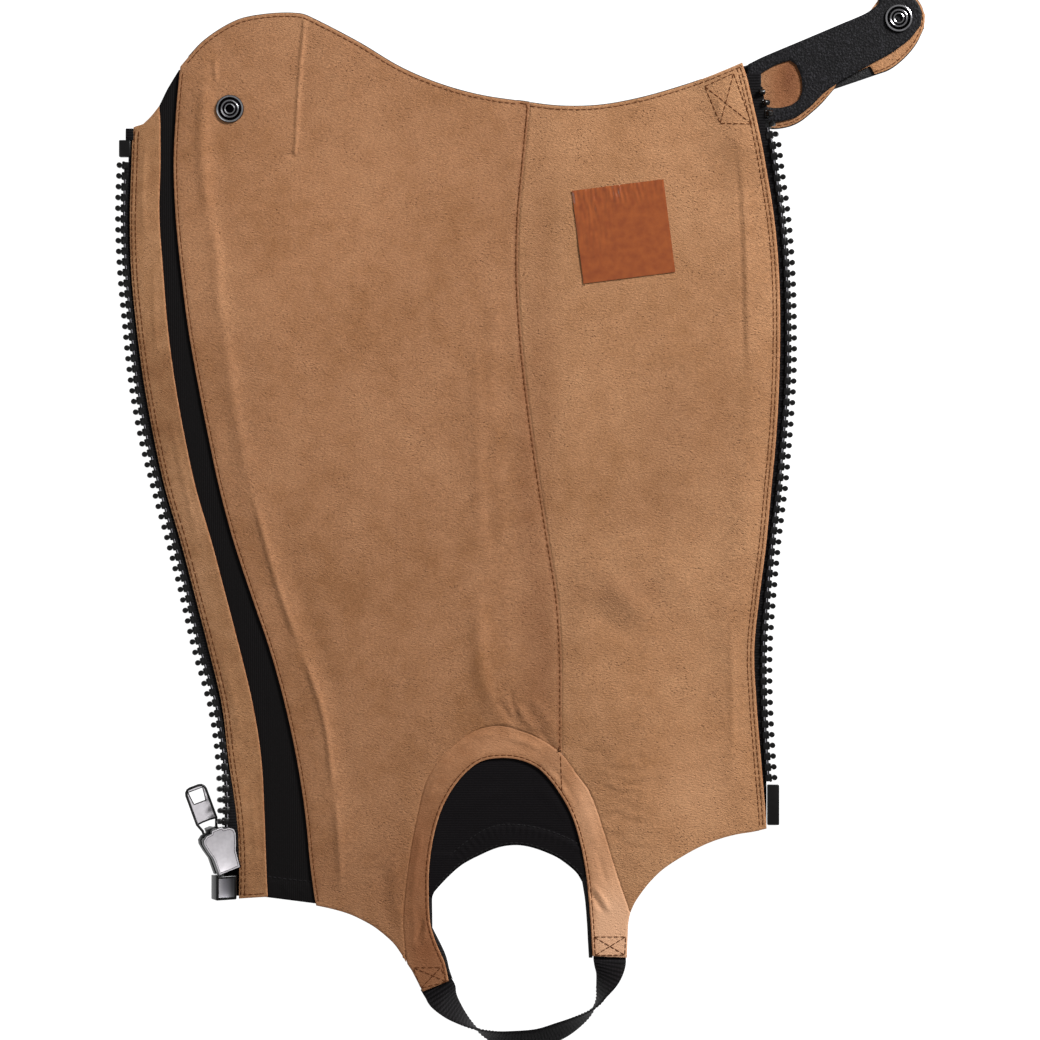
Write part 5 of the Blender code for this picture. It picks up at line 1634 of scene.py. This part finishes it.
# ------------ the zip
@dataclass
class ZipSide:
    """One half of the zip: woven tape, a cord at its edge, moulded teeth and pale bars between them, painted
    highlights.
    """

    node: str
    tape_node: str
    outward: float              # +1 if the teeth point to +X
    start: float                # y of the first tooth
    end: float                  # y past which no tooth stands
    pitch: float = 4.95
    head: float = 1.28          # radius of the round head
    thick: float = 2.6
    lobe: float = 0.72          # radius of the lobes at a tooth's root
    cord_radius: float = 1.1
    gather: tuple[tuple[float, float, float], ...] = ((0.0, 0.0, 0.0),)   # y, shift, roll in degrees
    beyond: tuple[tuple[float, ...], ...] = ()   # places past the solid's level rings: x, y, z, way out
    corners: int = 8            # corners of each of the solid's rings
    reach: float = 8.0          # how far past the teeth the rings are read

    def frames(self) -> list[tuple[Vector, Vector]]:
        """Read the chain's line from its solid.

        Returns:
            The centre and the outward direction of each of its rings, from the top down.
        """
        points, _ = node_arrays(self.node)
        rings: dict[float, list[np.ndarray]] = {}
        for p in points:
            rings.setdefault(round(float(p[1]), 2), []).append(p)
        found = []
        for y, ring in sorted(rings.items(), reverse=True):
            if len(ring) == self.corners and self.end - self.reach <= y <= self.start + self.reach:
                spots = np.array(ring)
                flat = spots - spots.mean(axis=0)
                _, _, ways = np.linalg.svd(flat)
                way = Vector(ways[0]) * (1 if ways[0][0] * self.outward > 0 else -1)
                found.append((Vector(spots.mean(axis=0)), way))
        return found + [(Vector(row[:3]), Vector(row[3:])) for row in self.beyond]

    def places(self) -> list[Matrix]:
        """Work out where each tooth stands.

        Returns:
            Each tooth's own frame, from the foot up, in mm.
        """
        frames = self.frames()
        ys = np.array([spot.y for spot, _ in frames])[::-1]
        spots = np.array([[*spot, *way] for spot, way in frames])[::-1]
        fine = np.arange(self.end, self.start, 0.25)
        line = np.stack([np.interp(fine, ys, spots[:, i]) for i in range(6)], axis=1)
        run = np.concatenate([[0], np.cumsum(np.linalg.norm(np.diff(line[:, :3], axis=0), axis=1))])
        marks = np.arange(run[-1], 0, -self.pitch)
        line = np.stack([np.interp(marks, run, line[:, i]) for i in range(6)], axis=1)
        placed = []
        for i, row in enumerate(line):
            here = Vector(row[:3])
            after = Vector(line[min(i + 1, len(line) - 1)][:3])
            before = Vector(line[max(i - 1, 0)][:3])
            along_way = (before - after).normalized()
            out = Vector(row[3:])
            out = (out - along_way * out.dot(along_way)).normalized()
            up = out.cross(along_way)
            if up.z < 0:
                along_way, up = -along_way, -up
            ys, shifts, rolls = zip(*self.gather)
            here += out * float(np.interp(here.y, ys, shifts))
            turn = Matrix.Rotation(math.radians(float(np.interp(here.y, ys, rolls))), 3, along_way)
            out, up = turn @ out, turn @ up
            placed.append(Matrix.Translation(here) @ Matrix((out, along_way, up)).transposed().to_4x4())
        return placed

    def tooth(self) -> Piece:
        """Model one moulded tooth: a block on the tape, two side lobes, a neck and a round head.

        Returns:
            The tooth, in mm, with its head to +X.
        """
        bpy.ops.object.select_all(action="DESELECT")
        parts = []
        bpy.ops.mesh.primitive_cylinder_add(vertices=18, radius=self.head, depth=self.thick,
                                            location=(2.5 - self.head, 0, 0))
        parts.append(bpy.context.object)
        for side in (-1, 1):
            bpy.ops.mesh.primitive_cylinder_add(vertices=12, radius=self.lobe, depth=self.thick * 0.92,
                                                location=(-0.75, side * 1.15, 0))
            parts.append(bpy.context.object)
        neck = ((1.8, 1.35, self.thick * 0.8), (0.0, 0, 0))
        root = ((1.3, 2.4, self.thick * 0.92), (-0.8, 0, 0))
        block = ((2.0, 3.1, self.thick), (-2.0, 0, 0))
        for size, at in (neck, root, block):
            bpy.ops.mesh.primitive_cube_add(size=1, location=at, scale=size)
            parts.append(bpy.context.object)
        return bevelled(joined(parts), 0.22, 2, 50.0)

    def dash(self) -> Piece:
        """Model the pale flat bar between two teeth on the tape's edge: a painted highlight on the teeth's
        shoulders.

        Returns:
            The bar, in mm.
        """
        bpy.ops.mesh.primitive_cube_add(size=1, location=(-1.9, 2.47, 0.95), scale=(0.42, 2.1, 0.3))
        bpy.ops.object.transform_apply(location=True, rotation=True, scale=True)
        return bevelled(bpy.context.object, 0.1, 2)

    def cord(self, spots: Sequence[Matrix]) -> Piece:
        """Sweep the cord that the teeth grip, along the tape's edge.

        Args:
            spots: each tooth's frame, in mm.

        Returns:
            The cord.
        """
        line = [(spot @ Vector((-2.1, 0, -0.1))) * MM for spot in spots]
        obj = swept(self.node + "_cord", line, self.cord_radius * MM, resolution=3)
        return dress(settle(obj, self.node + "_cord"), "zip_tape", TAPE)

    def build(self) -> None:
        """Make the tape, the cord, the teeth and the painted highlights between them."""
        spots = self.places()
        teeth = repeated(self.node + "_teeth", self.tooth(), spots, "moulded_plastic", ACETAL)
        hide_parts(self.node)
        # the pale bars between the teeth are painted highlights
        repeated(self.node + "_thread", self.dash(), spots[1:], "zip_tape", ZIP_PAINTED_HIGHLIGHT)
        self.cord(spots)
        ClothPanel(self.tape_node, "zip_tape", TAPE, TAPE, thick=0.8, spacing=1.6, roll=0.1).build()


@dataclass
class Slider:
    """Cast slider: two shield plates with a channel between them, seen on its bare lower plate."""

    node: str = "slider"
    rim: float = 0.55           # width of the plate's rim, mm
    step: float = 0.22          # width of the slope inside it
    recess: float = 0.12        # how deep the plate is sunk

    def top_normal(self, obj: Piece) -> Vector:
        """The direction of the largest face that looks up."""
        best = max((p for p in obj.data.polygons if p.normal.z > 0.5), key=lambda p: p.area * p.normal.z)
        return best.normal.copy()

    def build(self) -> Piece:
        """Copy the solid, round its edges and sink its plate inside a thin rim.

        Returns:
            The slider.
        """
        obj = copied_solid(self.node, "slider_casting")
        up = self.top_normal(obj)
        bevelled(obj, 0.28 * MM)
        highest = max(p.center.dot(up) for p in obj.data.polygons)
        only(obj)
        bpy.ops.object.mode_set(mode="EDIT")
        pick_faces(obj, lambda f: f.normal.dot(up) > IN_PLANE
                   and f.calc_center_median().dot(up) > highest - WELD)
        bpy.ops.mesh.inset(thickness=self.rim * MM, depth=0)
        bpy.ops.mesh.inset(thickness=self.step * MM, depth=-self.recess * MM)
        bpy.ops.object.mode_set(mode="OBJECT")
        # the top plate keeps the pale zinc; all other faces get the near-black copy, painted shade on the
        # flanks
        for face in obj.data.polygons:
            on_plate = face.center.dot(up) > highest - (self.recess + 0.25) * MM
            face.material_index = 0 if on_plate and face.normal.dot(up) > 0.97 else 1
        settle(obj, "slider_casting", 25.0)
        dress(obj, "polished_zinc", ZINC, ZINC_PAINTED_SHADE)
        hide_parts(self.node)
        LOG.info("slider: %d faces", len(obj.data.polygons))
        return obj


@dataclass
class PullTab:
    """The pull: a cast frame of round bead, a window near its tip and a thin bare panel below that."""

    node: str = "pull_tab"
    long: float = 24.3
    half: float = 5.35
    neck: float = 4.0
    bead: float = 0.62          # radius of the frame's bead
    window: tuple[float, float, float] = (6.2, 4.0, 2.9)   # length, half its upper and its lower width
    panel_foot: float = 7.4
    panel_thick: float = 0.9
    slider_at: tuple[float, float, float] = (-137.2, -151.1, 8.05)
    slider_turn: tuple[float, float, float] = (15.7, 8.0, 27.0)     # its lean, pitch and roll in degrees
    bridge: tuple[float, float, float] = (0.0, 6.5, -5.6)           # the pivot in the slider's own frame
    resting: tuple[float, float, float] = (20.4, -2.0, 18.0)        # the pull's lean, pitch and roll

    @staticmethod
    def leaned(spot: Sequence[float], lean: float, pitch: float, roll: float) -> Matrix:
        """A frame at a spot, rolled about its own Y, then pitched and leaned.

        Args:
            spot: where it stands, in mm.
            lean: its turn about Z, in degrees.
            pitch: its turn about X.
            roll: its turn about Y.

        Returns:
            The frame.
        """
        return (Matrix.Translation(Vector(spot)) @ Matrix.Rotation(math.radians(lean), 4, "Z")
                @ Matrix.Rotation(math.radians(pitch), 4, "X") @ Matrix.Rotation(math.radians(roll), 4, "Y"))

    def place(self) -> Matrix:
        """Where the pull's own frame stands at rest: at its pivot on the slider's bridge."""
        pivot = self.leaned(self.slider_at, *self.slider_turn) @ Vector(self.bridge)
        return self.leaned(pivot, *self.resting)

    def tube(self, name: str, points: Sequence[Sequence[float]], radius: float, height: float,
             closed: bool = True) -> Piece:
        """Sweep a round bead along a line in the pull's plane, at a height in mm."""
        return swept(name, [(x, y, height) for x, y in points], radius, closed)

    def build(self) -> Piece:
        """Sweep the frame and the window's border, lay in the panel and join them.

        Returns:
            The pull.
        """
        r = self.bead
        half, neck, top = self.half - r, self.neck - r, self.long - r
        right = [(neck - 0.9, -0.4), (neck, 0.9), (neck, 3.4), (half, 7.0), (half, top - 2.6),
                 (half - 0.35, top - 1.3), (half - 1.3, top - 0.35), (half - 2.6, top)]
        outline = right + [(-x, y) for x, y in reversed(right)]
        length, wide, narrow = self.window
        high = self.long - 2.0
        border = [(wide - 0.3, high), (-wide + 0.3, high), (-narrow, high - length), (narrow, high - length)]
        foot = [(-half, self.panel_foot - 0.4), (-1.8, self.panel_foot - 0.1), (1.8, self.panel_foot - 0.1),
                (half, self.panel_foot - 0.4)]
        pieces = [self.tube("frame", outline, r, 0.1), self.tube("border", border, 0.34, 0.25),
                  self.tube("foot", foot, 0.45, 0.1, closed=False)]
        # the beads get the near-black zinc, painted shade; the panels that follow get the pale zinc
        dark = len(pieces)   # the beads are dark, the panels that follow are bright
        for x0, y0, x1, y1 in ((-half, self.panel_foot, half, high - length),
                               (-half, high - length, -narrow - 0.35, high),
                               (narrow + 0.35, high - length, half, high),
                               (-half + 0.3, high, half - 0.3, self.long - 1.0)):
            bpy.ops.mesh.primitive_cube_add(size=1, location=((x0 + x1) / 2, (y0 + y1) / 2, -0.1),
                                            scale=(x1 - x0, y1 - y0, self.panel_thick))
            pieces.append(bpy.context.object)
        for i, piece in enumerate(pieces):
            for finish in (ZINC, ZINC_PAINTED_SHADE):
                piece.data.materials.append(FINISHES.get(finish))
            piece.data.polygons.foreach_set("material_index", [int(i < dark)] * len(piece.data.polygons))
        obj = joined(pieces)
        obj.data.transform(Matrix.Scale(MM, 4) @ self.place())
        settle(obj, "pull_frame", 35.0)
        dress(obj, "polished_zinc", ZINC, ZINC_PAINTED_SHADE, body=PULL_BODY)
        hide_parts(self.node)
        return obj


@dataclass
class ZipEnds:
    """The moulded ends: retainer box, insertion pin and top stop."""

    def plate(self, obj: Piece) -> None:
        """Set off the retainer box's plated face inside a black border.

        Args:
            obj: the box.
        """
        best = max((p for p in obj.data.polygons if p.normal.z > 0.5), key=lambda p: p.area)
        up, centre = best.normal.copy(), best.center.copy()
        only(obj)
        bpy.ops.object.mode_set(mode="EDIT")
        pick_faces(obj, lambda f: f.normal.dot(up) > IN_PLANE
                   and (f.calc_center_median() - centre).length < 0.5 * MM)
        bpy.ops.mesh.inset(thickness=0.55 * MM, depth=0)
        bpy.ops.mesh.inset(thickness=0.12 * MM, depth=-0.10 * MM)
        bm = bmesh.from_edit_mesh(obj.data)
        for face in bm.faces:
            if face.select:
                face.material_index = 1
        bmesh.update_edit_mesh(obj.data)
        bpy.ops.object.mode_set(mode="OBJECT")

    def build(self) -> None:
        """Make the three pieces."""
        box = bevelled(copied_solid("retainer_box", "retainer_block"), 0.7 * MM)
        self.plate(box)
        settle(box, "retainer_block", 40.0)
        dress(box, "moulded_plastic", ACETAL, BOX_FACE)
        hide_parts("retainer_box")
        for source, name, reach in (("insertion_pin", "pin_moulding", 0.0),
                                    ("zip_top_stop", "stop_moulding", 1.6)):
            piece = copied_solid(source, name)
            right = max(v.co.x for v in piece.data.vertices)
            for vert in piece.data.vertices:
                if vert.co.x > right - 0.1 * MM:
                    vert.co.x += reach * MM
            settle(bevelled(piece, 0.5 * MM), name, 40.0)
            dress(piece, "moulded_plastic", ACETAL)
            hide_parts(source)
        self.tape_ends()

    def tape_ends(self) -> None:
        """Make the folded tape end above the top stop, and the tape's foot beside the retainer box."""
        for name, size, at in (("tape_top_fold", (3.6, 5.4, 2.4), (-179.6, 177.4, 1.9)),
                               ("tape_foot", (9.6, 17.0, 0.8), (-132.5, -164.6, 0.8))):
            bpy.ops.object.select_all(action="DESELECT")
            bpy.ops.mesh.primitive_cube_add(size=MM, location=[v * MM for v in at], scale=size)
            piece = bpy.context.object
            bpy.ops.object.transform_apply(location=True, rotation=True, scale=True)
            settle(bevelled(piece, 0.35 * MM), name, 40.0)
            dress(piece, "zip_tape", TAPE)


# ------------ snaps, tab, label, strap
@dataclass
class Snap:
    """A spun snap: a rolled outer rim, a dished wall and the eyelet round its hole; the hole, two grooves and
    the outer edge get painted shade.
    """

    node: str
    x: float
    y: float
    base: float     # height of the surface that its flange sits on
    rings: Spots = (   # radius and height, from the stem's foot to the hole's floor
        (2.4, -2.4), (2.5, -0.05), (6.2, -0.02), (6.4, 0.2), (6.38, 0.5), (6.15, 0.75), (5.8, 0.86),
        (5.4, 0.8), (5.1, 0.55), (4.95, 0.3), (4.7, 0.22), (4.5, 0.35), (4.3, 0.8), (4.1, 1.08),
        (3.85, 1.2), (3.6, 1.1), (3.4, 0.75), (3.1, 0.35), (2.85, 0.28), (2.65, 0.5), (2.45, 0.8),
        (2.2, 0.9), (1.95, 0.8), (1.75, 0.4), (1.6, -0.6), (1.5, -1.4), (0.02, -1.5))
    # radii painted in the near-black copy as painted shade: the hole, two grooves and the outer edge
    dark: Spots = ((-1.0, 2.0), (2.75, 3.25), (4.35, 5.45), (6.2, 99.0))   # from and to which radius

    def build(self) -> Piece:
        """Turn the snap from its stem's foot, over the flange, to the hole.

        Returns:
            The snap.
        """
        obj = turned(self.node + "_spun", (self.x, self.y), [(r, self.base + z) for r, z in self.rings])
        for face in obj.data.polygons:
            radius = math.hypot(face.center.x / MM - self.x, face.center.y / MM - self.y)
            face.material_index = int(any(low < radius < high for low, high in self.dark))
        dress(obj, "gunmetal", NICKEL, SNAP_PAINTED_SHADE)
        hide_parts(self.node)
        return obj


@dataclass
class ClosureTab:
    """The closure tab: black outer, tan lining and a black backing with a window."""

    def build(self) -> None:
        """Make the three layers and sew the tan edge."""
        ClothPanel("tab_outer", "black_leather", COWHIDE, COWHIDE, thick=0.8, spacing=3.0, holes=True,
                   roll=0.2).build()
        lining = ClothPanel("tab_lining", "pigskin", LINING_RIGHT, CUT_EDGE, thick=0.8, spacing=1.6,
                            holes=True, roll=0.2, lies_on=("tab_outer",),
                            # painted shade in the window: darker, most of all towards its right, where the tan
                            # lining bulges away from the light
                            patches=(Patch(121, 200, 9, 15, -0.44),
                                     Patch(123.5, 206, 2.6, 10, -0.30),
                                     Patch(127.5, 202, 5.5, 14, -0.30),
                                     Patch(117, 191.5, 9, 2, -0.12)),
                            creases=(Crease(((123, 211), (122.5, 204), (121.5, 196)), 0.2, 1.6),)
                            ).build()
        ClothPanel("tab_backing", "black_leather", BACKING, BACKING, thick=0.8, spacing=1.5, waviness=0.05,
                   holes=True, roll=0.25, lies_on=("tab_lining",)).build()
        sewing = Sewing("tab_stitching", THREAD, "pigskin")
        surface = [lining.surface()]
        edge = outline_of("tab_lining")
        sewing.row(edge.portion((185.6, 235.0), (180.5, 217.0), (163.5, 205.6), 1.0), surface)
        sewing.row(edge.portion((143.0, 197.4), (133.0, 187.2), (109.0, 181.8), 1.0), surface)
        sewing.build()


@dataclass
class Label:
    """A thin glossy transfer on the inner leg, left bare, that has wrinkled with the leather."""

    x: float = 47.6
    y: float = 132.7
    turn: float = 7.3           # degrees
    wrinkle: float = 0.55       # height of the wrinkles, mm
    dimple: float = 0.03
    deepest: float = 0.14       # so far down the lining lets it sink

    def wrinkles(self, xy: np.ndarray) -> np.ndarray:
        """Fine upright wrinkles near its top, fading downwards, and small dimples.

        Args:
            xy: the places, in mm.

        Returns:
            The heights that they add, in mm.
        """
        c, s = math.cos(math.radians(self.turn)), math.sin(math.radians(self.turn))
        u = (xy[:, 0] - self.x) * c + (xy[:, 1] - self.y) * s
        v = -(xy[:, 0] - self.x) * s + (xy[:, 1] - self.y) * c
        top = np.exp(-((v - 19.0) / 7.0) ** 2) * (0.45 + 0.55 * np.exp(-((u + 5.0) / 14.0) ** 2))
        side = np.exp(-((u + 15.0) / 8.0) ** 2) * np.exp(-((v - 4.0) / 14.0) ** 2) * 0.6
        fine = np.array([noise.noise(Vector((a / 1.15, b / 6.0, 9.0))) for a, b in zip(u, v)])
        dimple = np.array([noise.noise(Vector((a / 2.4, b / 2.6, 3.0))) for a, b in zip(u, v)])
        relief = self.wrinkle * fine * np.clip(top + side, 0, 1) + self.dimple * dimple
        return np.maximum(relief, -self.deepest)

    def build(self) -> ClothPanel:
        """Make the patch."""
        return ClothPanel("label_patch", "foil", FOIL, FOIL, thick=0.2, spacing=0.55, roll=0.05,
                          extra=self.wrinkles, lies_on=("lining_inside",)).build()


@dataclass
class FootStrap:
    """Ribbed webbing that leaves each leg flat, stands on edge below the foot and leans in."""

    wide: float = 15.0
    thick: float = 1.4
    rib: float = 1.55           # spacing of the ribs across it
    relief: float = 0.34
    rib_edge: float = 0.86      # share of its half width that the ribs reach
    across: int = 15            # points across each side
    stations: tuple[tuple[float, float, float], ...] = (   # x, y and how far it is rolled, in degrees
        (-39.4, -212.6, 0), (-37.2, -216.2, 0), (-34.0, -221.0, 40), (-29.5, -225.7, 63),
        (-22.3, -231.5, 90), (-14.5, -235.9, 114), (-5.0, -238.6, 132), (8.0, -238.0, 135),
        (18.5, -234.2, 130), (26.5, -229.8, 118), (32.0, -225.6, 104), (35.8, -220.6, 86),
        (37.6, -216.0, 70), (40.2, -209.6, 44), (41.2, -204.4, 16), (41.3, -201.7, 0), (41.3, -196.2, 0))

    def build(self) -> Piece:
        """Sweep the ribbed section along the strap's line.

        Returns:
            The strap.
        """
        line = rounded(self.stations, 1.0)
        line[:, 2] = np.maximum(line[:, 2], 0.0)
        line = along(line * np.array([1, 1, 0.02]), self.rib / 6) / np.array([1, 1, 0.02])
        ahead = np.gradient(line[:, :2], axis=0)
        ahead /= np.linalg.norm(ahead, axis=1)[:, None]
        run = np.concatenate([[0], np.cumsum(np.linalg.norm(np.diff(line[:, :2], axis=0), axis=1))])
        verts, faces, tone = [], [], []
        for (x, y, roll), (ax, ay), place in zip(line, ahead, run):
            c, s = math.cos(math.radians(roll)), math.sin(math.radians(roll))
            left, up = Vector((-ay, ax, 0)), Vector((0, 0, 1))
            wide = (-c * left + s * up) * self.wide / 2
            normal = c * up + s * left
            flat = 1 - float(ease(roll, 2.0, 14.0))
            half = (self.thick - 0.35 * flat) / 2
            middle = Vector((x, y, abs(wide.z) + abs(normal.z) * half + 0.05))
            rise = self.relief * (0.5 + 0.5 * math.cos(2 * math.pi * place / self.rib))
            for side in (1, -1):
                for k in range(self.across):
                    t = (-1 + 2 * k / (self.across - 1)) * side
                    ribbed = abs(t) < self.rib_edge
                    edge = 1 - float(ease(abs(t), 0.93, 1.0)) * 0.55
                    selvedge = 0.10 if self.rib_edge < abs(t) < 0.97 else 0.0
                    depth = (half - self.relief + (rise if ribbed else 0.0) + selvedge) * edge
                    verts.append((middle + wide * t + normal * depth * side) * MM)
                    # painted highlight on each rib's crown and painted shade between the ribs; the selvedges
                    # are a little darker
                    tone.append(0.75 * (2 * rise / self.relief - 1) if ribbed else -0.2)
        ring = 2 * self.across
        for i in range(len(line) - 1):
            for k in range(ring):
                a, b = i * ring + k, i * ring + (k + 1) % ring
                faces.append((a, b, b + ring, a + ring))
        faces.append(tuple(range(ring))[::-1])
        faces.append(tuple((len(line) - 1) * ring + k for k in range(ring)))
        obj = mesh_piece("strap_webbing", verts, faces)
        obj.data.attributes.new("shade", "FLOAT", "POINT").data.foreach_set("value", tone)
        only(obj)
        bpy.ops.object.mode_set(mode="EDIT")
        bpy.ops.mesh.select_all(action="SELECT")
        bpy.ops.mesh.normals_make_consistent(inside=False)
        bpy.ops.object.mode_set(mode="OBJECT")
        settle(obj, "strap_webbing", 50.0)
        dress(obj, "webbing", WEBBING)
        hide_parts("foot_strap")
        return obj


# ------------ studio
@dataclass
class Studio:
    """A white table, an even soft light from the upper right and a camera straight above."""

    field_width: float = 0.4784    # metres across the picture, at the lining's level
    lens: float = 100.0            # mm
    sensor: float = 36.0           # mm
    level: float = 0.0026          # height of the lining, metres

    def floor(self) -> None:
        """Lay the table, bright enough to read as plain white."""
        bpy.ops.object.select_all(action="DESELECT")
        bpy.ops.mesh.primitive_plane_add(size=6.0, location=(0, 0, -0.0002))
        table = bpy.context.object
        table.name = "table"
        made, _, shader = new_material("white_table")
        shader.inputs["Base Color"].default_value = (0.2, 0.2, 0.2, 1.0)
        shader.inputs["Roughness"].default_value = 0.9
        shader.inputs["Specular IOR Level"].default_value = 0.0
        shader.inputs["Emission Color"].default_value = (1.0, 1.0, 1.0, 1.0)
        shader.inputs["Emission Strength"].default_value = 1.0
        table.data.materials.append(made)

    def lights(self) -> None:
        """Hang a low key to the upper right and a weak panel opposite; the sky, brightest overhead, fills."""
        for name, size, spot, power in (("key", 0.40, (1.05, 0.95, 0.85), 39.0),
                                        ("side", 1.2, (-1.2, -0.3, 1.1), 3.5)):
            data = bpy.data.lights.new(name, "AREA")
            data.size = size
            data.energy = power
            light = bpy.data.objects.new(name, data)
            bpy.context.scene.collection.objects.link(light)
            light.location = spot
            light.rotation_euler = (-Vector(spot)).to_track_quat("-Z", "Y").to_euler()
        world = bpy.data.worlds.new("sky")
        bpy.context.scene.world = world
        world.use_nodes = True
        tree = world.node_tree
        background = tree.nodes["Background"]
        height = node(tree, "SeparateXYZ", {0: node(tree, "TexCoord").outputs["Generated"]})
        shade = node(tree, "ValToRGB", {0: height.outputs["Z"]}, stops=((0.20, 0.05), (0.85, 1.0)))
        tree.links.new(shade.outputs[0], background.inputs["Color"])
        background.inputs["Strength"].default_value = 0.30

    def camera(self) -> None:
        """Look straight down, so that the picture is the set width at the lining's level."""
        data = bpy.data.cameras.new("camera")
        data.lens = self.lens
        data.sensor_width = self.sensor
        camera = bpy.data.objects.new("camera", data)
        bpy.context.scene.collection.objects.link(camera)
        camera.location = (0.0, 0.0, self.field_width * self.lens / self.sensor + self.level)
        bpy.context.scene.camera = camera
        bpy.context.scene.view_settings.view_transform = "Standard"

    def build(self) -> None:
        """Set up the table, the lights and the camera."""
        self.floor()
        self.lights()
        self.camera()


def main() -> None:
    """Dress the half chap and frame the picture."""
    logging.basicConfig(level=logging.INFO, format="%(message)s")
    Studio().build()
    LOG.info("studio ready")
    shell = Shell()
    shell.build()
    shell.sew()
    lining = Lining()
    lining.build()
    lining.sew()
    LOG.info("cloth laid and sewn")
    ZipSide("zip_chain_left", "zip_tape_left", -1.0, 163.4, -146.0,
            beyond=((-136.6, -140.8, 7.7, -0.84, -0.30, 0.45),
                    (-135.2, -146.2, 6.9, -0.84, -0.30, 0.45))).build()
    ZipSide("zip_chain_right", "zip_tape_right", 1.0, 197.0, -120.5,
            gather=((172.0, 0.0, 0.0), (180.0, -1.2, -28.0), (190.0, -2.2, -55.0),
                    (198.0, -4.2, -80.0))).build()
    Slider().build()
    PullTab().build()
    ZipEnds().build()
    LOG.info("zip ready")
    Snap("snap_stud", -133.4, 189.1, 2.95).build()
    Snap("tab_snap", 174.1, 230.7, 3.35).build()
    ClosureTab().build()
    Label().build()
    FootStrap().build()
    LOG.info("half chap ready")


if __name__ == "__main__":
    main()
